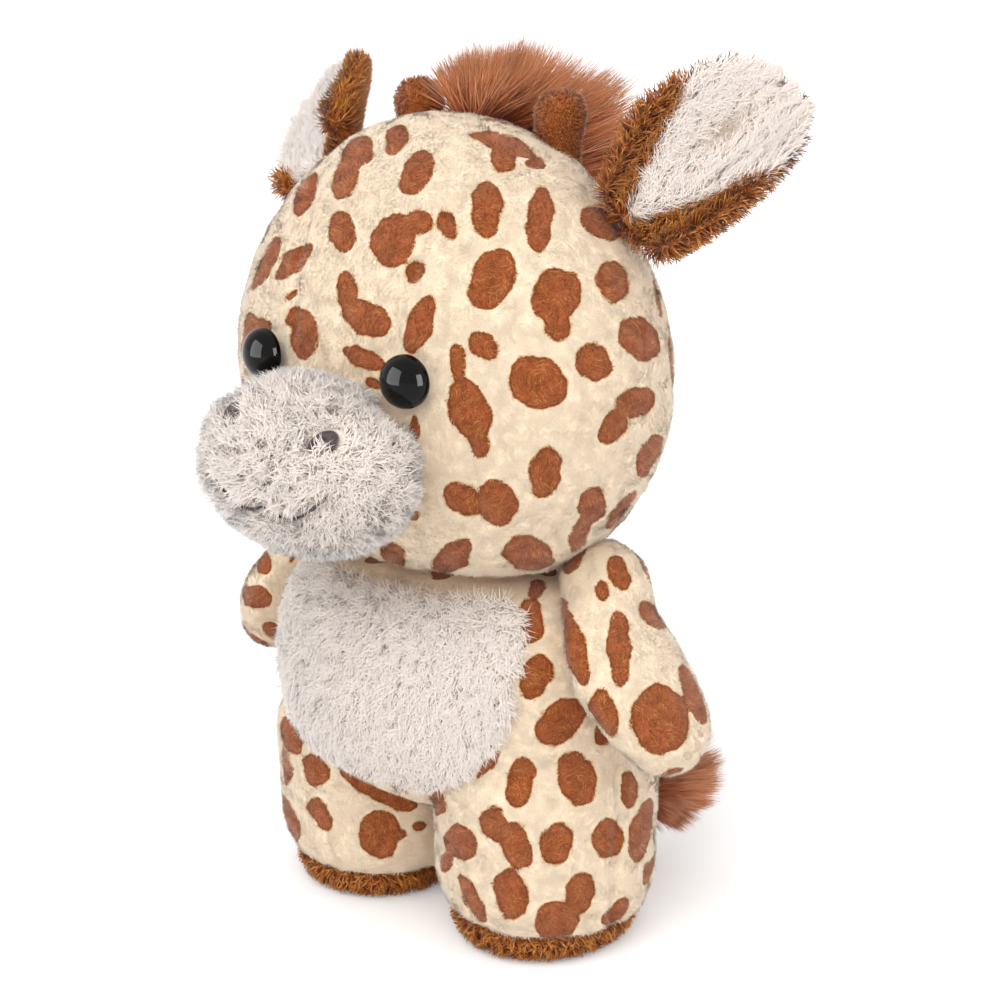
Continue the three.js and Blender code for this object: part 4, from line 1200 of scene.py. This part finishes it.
# Velvet: dense, upright and very short, so it shines where it is seen from the side; painted shade darkens
# its fibres towards their roots
horn_fibres = dyed_pile("brown_polyester_velvet_pile", horn_dyes, brown_depth_shade, {
    "Roughness": 0.6, "Specular IOR Level": 0.25, "Sheen Weight": 0.45, "Sheen Roughness": 0.35,
})
horn_way = np.array((math.sin(horn_lean), 0, math.cos(horn_lean)))
for side_name, side, seed in (("left", 1, 71), ("right", -1, 72)):
    mirror = np.array((side, 1, 1))
    horn = sewn(f"horn_cover_{side_name}", *lofted([
        ((horn_foot + horn_way * horn_height * up) * mirror,
         (horn_radius * wide - horn_inset, 0, 0), (0, horn_radius * wide - horn_inset, 0))
        for up, wide in eased(horn_shares, 30)
    ]), horn_cloth, "head", "horn_velvet")
    painted(horn, horn_dye)
    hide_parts(f"horn_{side_name}")
    draw = np.random.default_rng(seed)
    roots, facings = scattered(
        horn, 5.2, draw, lambda roots, facings: out_from(roots, head_middle, head_radii) > 0.9,
    )
    count = len(roots)
    inward, common = clumped(roots, horn_tuft, draw)
    lean = inward + common + draw.normal(0, 0.5, roots.shape)
    pile(
        f"horn_pile_{side_name}", roots, facings, lean, (18, 64), draw.uniform(1.3, 2.1, count),
        draw.uniform(0.2, 0.3, count), mixed_dyes(draw, count), horn_fibres, "head", "horn_velvet",
        rings=2, curl=draw.normal(0, 0.7, count), roundness=0.8,
    )

# Mane. A strip of long straight hair sewn on the middle line of the head, from a standing forelock
# between the horns down to the nape.
mane_from, mane_to, mane_lean = math.radians(10), math.radians(112), math.radians(8)
mane_heights = (
    (0, 0.48), (0.1, 0.63), (0.2, 0.83), (0.3, 1.0), (0.42, 0.97), (0.55, 0.74), (0.8, 0.42), (1, 0.25),
)
mane_hairs, hair_longest, mane_half_strip = 12000, 38.0, 3.4
hair_sewn_in = 0.8
forelock_share, forelock_lean, forelock_cut = 0.25, math.radians(52), 0.3
strip_splay, loose_splay = 30, 15
mane_lock, lock_ahead = 3.4, 6
hair_dyes = ((0.0, "#B4663A"), (0.35, "#CA7C4C"), (0.7, "#DA9260"), (1.0, "#EAB088"))
hair_depth_shade = ((0.0, "#94684C"), (0.25, "#D2AE96"), (0.6, "#F6E8DE"), (1.0, "#FFFFFF"))
# Acrylic hair: straight and silky; painted shade makes it darker at the roots and paler towards the tips
hair_fibres = dyed_pile("tan_acrylic_hair", hair_dyes, hair_depth_shade, {
    "Roughness": 0.5, "Specular IOR Level": 0.25, "Sheen Weight": 0.05, "Anisotropic": 0.3,
})


def long_hair(name, foot, straight, lean, length, body, draw):
    """Straight hair that comes together in locks towards its lean"""
    count = len(foot)
    return pile(
        name, foot, straight, lean, (2, 18), length, draw.uniform(0.2, 0.32, count),
        mixed_dyes(draw, count, 0.25), hair_fibres, body, "tan_hair", rings=3, roundness=2.0,
    )


draw = np.random.default_rng(81)
along = draw.beta(0.9, 1.25, mane_hairs)
strip = draw.uniform(-1, 1, mane_hairs)
angle = mane_from + (mane_to - mane_from) * along
crown = np.stack((0 * angle, np.sin(angle), np.cos(angle)), 1)
foot = np.stack((strip * mane_half_strip, np.sin(angle) * head_radii[1], np.cos(angle) * head_radii[2]), 1)
foot += head_middle - crown * hair_sewn_in
forward = np.clip(1 - along / forelock_share, 0, 1) * draw.random(mane_hairs)
fan = angle + mane_lean - forward * forelock_lean
splay = np.radians(strip * strip_splay + draw.normal(0, loose_splay, mane_hairs))
straight = np.stack((np.sin(splay), np.sin(fan) * np.cos(splay), np.cos(fan) * np.cos(splay)), 1)
height = np.interp(along, *np.array(mane_heights).T) * hair_longest * draw.uniform(0.78, 1.0, mane_hairs)
height *= 1 - forelock_cut * forward
inward, common = clumped(foot + straight * lock_ahead, mane_lock, draw)
mane = long_hair(
    "mane_hair", foot, straight, inward * 0.8 + common * 0.5 + (0, 0.25, -0.5), height, "head", draw,
)
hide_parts("mane")

# Ears. A back of shaggy golden-brown pile that rolls round the rim of a cupped white front, sewn
# shut at the foot and set in the head, so that they stand out and flex a little.
ear_root = np.array((46.5, 6.953, 177.5))
ear_axes = np.array(((0.7322, 0.0732, -0.6772), (-0.5144, 0.7112, -0.4792), (0.4465, 0.6992, 0.5584)))
ear_thickness, ear_roll = 3.6, 4.4
ear_rim, ear_flat = 0.8, 0.7
cup_curve = 1.7
lining_back, lining_face, lining_swell, lining_share = 0.3, 0.4, 1.4, 0.94
ear_rows, ear_across = 44, 30


def width_at(halves, up):
    """An ear's half width at a share of its length"""
    return np.interp(up, np.linspace(0, 1, len(halves)), halves)


def ear_leaf(back_at, front_at, across_at, length, start, end):
    """A closed leaf in the ear's own frame: across, front to back, and up"""
    back = np.linspace(1, -1, ear_across)
    rings = []
    for up in np.linspace(start, end, ear_rows):
        shares = np.concatenate((back, back[::-1]))
        x = across_at(shares, up)
        y = np.where(np.arange(len(shares)) < ear_across, back_at(x, shares), front_at(x, shares, up))
        rings.append(np.stack((x, y, np.full(len(x), length * up)), 1))
    around = 2 * ear_across
    middles = [rings[0].mean(0), rings[-1].mean(0)]
    _, faces = lofted([((0, 0, 0), (0, 0, 0), (0, 0, 0))] * len(rings), around)
    return np.concatenate([*rings, middles]), faces


def arch_at(shares):
    """The thickness of a leaf across its width, 1 in the middle"""
    return np.sqrt(1 - 0.91 * shares**2)


def roll_at(shares, up):
    """How far the rim rolls over to the front, most at the foot"""
    return np.clip((np.abs(shares) - ear_rim) / 0.08, 0, 1) * ear_roll * max(0, 1 - up / ear_flat)


# Soft ears never stand quite alike: the left one is open, the right one shorter and turned aside.
# Each has its length, the half widths of its inner and outer side from foot to tip, and for both
# sides how deep it is cupped and the shares of the half width that are white at foot and tip
ears = (
    ("left", 1, 91, 48, (7, 10, 13, 15, 15, 15, 14, 11, 3), (13.6, 14.6, 15.4, 15.3, 14.8, 14, 12.6, 9.5, 3),
     (9, 9), ((0.07, 1.57), (0.08, 1.5))),
    ("right", -1, 94, 44, (20, 19.5, 18.5, 17, 15.5, 14, 12, 9, 3),
     (9, 11.5, 13.5, 14.5, 14.5, 14, 12, 8.5, 3), (5, 6), ((0.2, 0.3), (0.3, 3.5))),
)
for side_name, side, seed, ear_length, inner_halves, outer_halves, cups, whites in ears:
    mirror = np.array((side, 1, 1))

    def across_at(shares, up, inner=inner_halves, outer=outer_halves):
        """The place across the ear of a share of its half width, below 0 on the inner side"""
        return shares * np.where(shares < 0, width_at(inner, up), width_at(outer, up))

    def cup_at(x, inner=max(inner_halves), outer=max(outer_halves), depths=cups):
        """How far the cupped ear comes forward there"""
        return -np.where(
            x < 0, depths[0] * np.abs(x / inner) ** cup_curve, depths[1] * np.abs(x / outer) ** cup_curve,
        )

    def white_at(shares, up, ends=whites):
        """The share of the half width that the white lining takes up"""
        (inner_foot, inner_tip), (outer_foot, outer_tip) = ends
        return np.minimum(1, np.where(
            shares < 0,
            inner_foot + (inner_tip - inner_foot) * up,
            outer_foot + (outer_tip - outer_foot) * up,
        ))

    def in_ear(points, m=mirror):
        """Points in the ear's own frame: across, front to back, and up"""
        return (points * m - ear_root) @ ear_axes.T

    covers = []
    for part, finish, slot, form in (
        ("back", brown_cloth, "brown_pile", ear_leaf(
            lambda x, s: cup_at(x) + (ear_thickness - 0.6) * arch_at(s),
            lambda x, s, up: cup_at(x) - roll_at(s, up),
            across_at, ear_length, 0, 0.985,
        )),
        ("front", white_cloth, "white_pile", ear_leaf(
            lambda x, s: cup_at(x) + lining_back,
            lambda x, s, up: cup_at(x) - lining_face - lining_swell * arch_at(s),
            lambda s, up: across_at(s, up) * np.minimum(lining_share, white_at(s, up)),
            ear_length, 0.04, 0.97,
        )),
    ):
        points = (form[0] @ ear_axes + ear_root) * mirror
        faces = form[1] if side > 0 else [group[:, ::-1] for group in form[1]]
        leaf = joined_skin(f"ear_{part}_cover_{side_name}", [(points, faces)], limb_voxel, 3, finish)
        painted(leaf, even_dye)
        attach(leaf, f"ear_{side_name}")
        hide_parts(f"ear_{part}_{side_name}")
        covers.append(leaf)
    draw = np.random.default_rng(seed)
    roots, facings = scattered(covers[0], 3.6, draw)
    own = in_ear(roots)
    front_side = (facings * mirror) @ ear_axes.T[:, 1] < -0.2
    outside = out_from(roots, head_middle, head_radii) > 1.0
    up = np.clip(own[:, 2] / ear_length, 0, 1)
    toward = np.sign(own[:, 0])
    white_reach = np.abs(across_at(toward, up)) * white_at(toward, up)
    stays = outside & ~((np.abs(own[:, 0]) < white_reach) & front_side)
    roots, facings, own, front_side = roots[stays], facings[stays], own[stays], front_side[stays]
    rim = np.sign(own[:, :1]) * ear_axes[0]
    outward = np.where(front_side[:, None], rim + ear_axes[2] * 0.25, rim * 0.35 + ear_axes[2] * 0.9) * mirror
    shaggy_pile(f"ear_back_pile_{side_name}", roots, facings, outward, f"ear_{side_name}", draw)

    def on_cup(roots, facings, m=mirror):
        """True on the lining's front, outside the head"""
        turned = (facings * m) @ ear_axes.T
        return (turned[:, 1] < -0.1) & (out_from(roots, head_middle, head_radii) > 1.02)

    def to_tip(roots, facings, m=mirror):
        """The lining's pile is brushed to the tip and a little to the rim"""
        return (np.sign(in_ear(roots)[:, :1]) * ear_axes[0] * 0.3 + ear_axes[2] * 1.8) * m

    def shaded_hollow(roots):
        """In the hollow of the cup the pile is short, and painted shade makes it darker"""
        own = in_ear(roots)
        hollow = np.exp(-((own[:, 0] + 1.5) / 3.6) ** 2 - ((own[:, 2] - 0.6 * ear_length) / 10) ** 2)
        return 1 - 0.7 * hollow, hollow

    silky_pile(
        f"ear_front_pile_{side_name}", covers[1], on_cup, f"ear_{side_name}", seed + 1, 11, (3.8, 6.2),
        to_tip, shaded_hollow, lay=(32, 74), loose=0.3,
    )

# Tail. A cord of spotted plush, sewn on at the back with a round root, that ends in a tuft of the
# same tan hair as the mane.
tail_root = np.array((0, 48.65, 49))
tail_length, tail_radius, tail_ball = 37, 4.2, 5.4
tail_path = (
    (0, 0, 0, 0), (0.25, 0.03, 0.1, -0.12), (0.5, 0.12, 0.14, -0.42), (0.75, 0.34, 0.12, -0.7),
    (1, 0.57, 0.08, -0.84),
)
tail_inset, ball_inset, tail_voxel = 0.4, 0.3, 0.7
tail_points = tail_root + tail_length * eased(tail_path, 26)[:, 1:]
tail_ways = np.gradient(tail_points, axis=0)
tail_ways /= np.linalg.norm(tail_ways, axis=1)[:, None]
tail_rows = []
for point, way in zip(tail_points, tail_ways):
    level = np.cross(way, (0, 1, 0.2))
    level /= np.linalg.norm(level)
    radius = tail_radius - tail_inset
    tail_rows.append((point, level * radius, np.cross(way, level) * radius))
tail_form = [lofted(tail_rows, 32), oval(tail_root, np.full(3, tail_ball - ball_inset), 2.0, 32, 20)]
tail = joined_skin("tail_cord", tail_form, tail_voxel, 6, spotted_cloth)
crimped(tail, crimp_sizes)
tail_spots = printed(tail, None, (), 101)
stands_for(tail, "tail", "tail_tube")
spotted_pile("tail_pile", tail, tail_spots, lambda roots, facings: roots[:, 1] > 40, "tail", 103)

tuft_way = np.array((0.9, 0.05, 0.433))
tuft_deep_way = np.array((0, 1, 0))
tuft_wide_way = np.cross(tuft_deep_way, tuft_way)
tuft_hairs, tuft_foot, tuft_lock = 5600, 3.2, 3.6
tuft_spread, loose_spread = 44, 6
draw = np.random.default_rng(104)
spin = draw.uniform(0, 2 * math.pi, tuft_hairs)
reach = np.sqrt(draw.random(tuft_hairs))
spread = tuft_wide_way * np.cos(spin)[:, None] + tuft_deep_way * 0.75 * np.sin(spin)[:, None]
foot = tail_points[-1] + spread * reach[:, None] * tuft_foot - tuft_way * 1.0 + (0, 0, 1)
open_angle = np.radians(reach * tuft_spread + draw.normal(0, loose_spread, tuft_hairs))[:, None]
straight = tuft_way * np.cos(open_angle) + spread * np.sin(open_angle)
straight /= np.linalg.norm(straight, axis=1)[:, None]
inward, common = clumped(foot + straight * lock_ahead, tuft_lock, draw)
hanging = np.interp(straight[:, 2], (-0.4, 0.3), (0.5, 1))
tuft = long_hair(
    "tail_tuft_hair", foot, straight, inward * 0.8 + common * 0.5,
    draw.uniform(21, 26, tuft_hairs) * hanging, "tail", draw,
)
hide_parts("tail_tuft")

# Filling. Loose polyester fibre pushed into each cover before its last seam is closed. It takes the
# form of the cover, a little inside the cloth.
fill_inset, head_fill_inset, horn_fill_inset = 2.2, 2.6, 1.6
fill_voxel = 2.4
fill_lumps = ((9.0, 0.7), (4.0, 0.3))
# Polyester fibrefill: white, matt and lumpy, with a tangle of thin grey shadows
fibrefill, fill_tree, fill_shader = new_finish("loose_polyester_fibrefill", {
    "Roughness": 1.0, "Specular IOR Level": 0.1, "Sheen Weight": 0.3, "Subsurface Weight": 0.1,
    "Subsurface Radius": (0.002, 0.002, 0.002),
})
fill_tangle = add(fill_tree, "ShaderNodeTexNoise", {
    "Scale": 1 / (1.2 * mm), "Detail": 4.0, "Distortion": 2.0,
})
fill_tone = add(fill_tree, "ShaderNodeValToRGB", {"stops": ((0.3, "#E6E5E2"), (0.7, "#FBFAF8"))}, {
    "Fac": fill_tangle.outputs["Fac"],
})
fill_relief = add(fill_tree, "ShaderNodeBump", {"Strength": 0.8, "Distance": 0.5 * mm}, {
    "Height": fill_tangle.outputs["Fac"],
})
fill_tree.links.new(fill_tone.outputs["Color"], fill_shader.inputs["Base Color"])
fill_tree.links.new(fill_relief.outputs["Normal"], fill_shader.inputs["Normal"])


def stuffed(cover_name, name, node, body, inset=fill_inset):
    """The filling of a cover: its form, smaller all round, with the lumps of loose fibre"""
    cover = bpy.data.objects[cover_name]
    points, facings = numbers(cover, "co"), numbers(cover, "normal")
    faces = [list(face.vertices) for face in cover.data.polygons]
    groups = [np.array([face for face in faces if len(face) == corners]) for corners in (3, 4)]
    form = (points - facings * inset, [group for group in groups if len(group)])
    lump = joined_skin(name, [form], fill_voxel, 4, fibrefill)
    crimped(lump, fill_lumps)
    stands_for(lump, body, node)


stuffed("body_cover", "body_filling", "body_stuffing", "torso")
stuffed("head_cover", "head_filling", "head_stuffing", "head", head_fill_inset)
stuffed("muzzle_cover", "muzzle_filling", "muzzle_stuffing", "head")
for side_name in ("left", "right"):
    for limb, body, inset in (("arm", f"arm_{side_name}", fill_inset), ("horn", "head", horn_fill_inset)):
        stuffed(
            f"{limb}_cover_{side_name}", f"{limb}_filling_{side_name}", f"{limb}_stuffing_{side_name}",
            body, inset,
        )
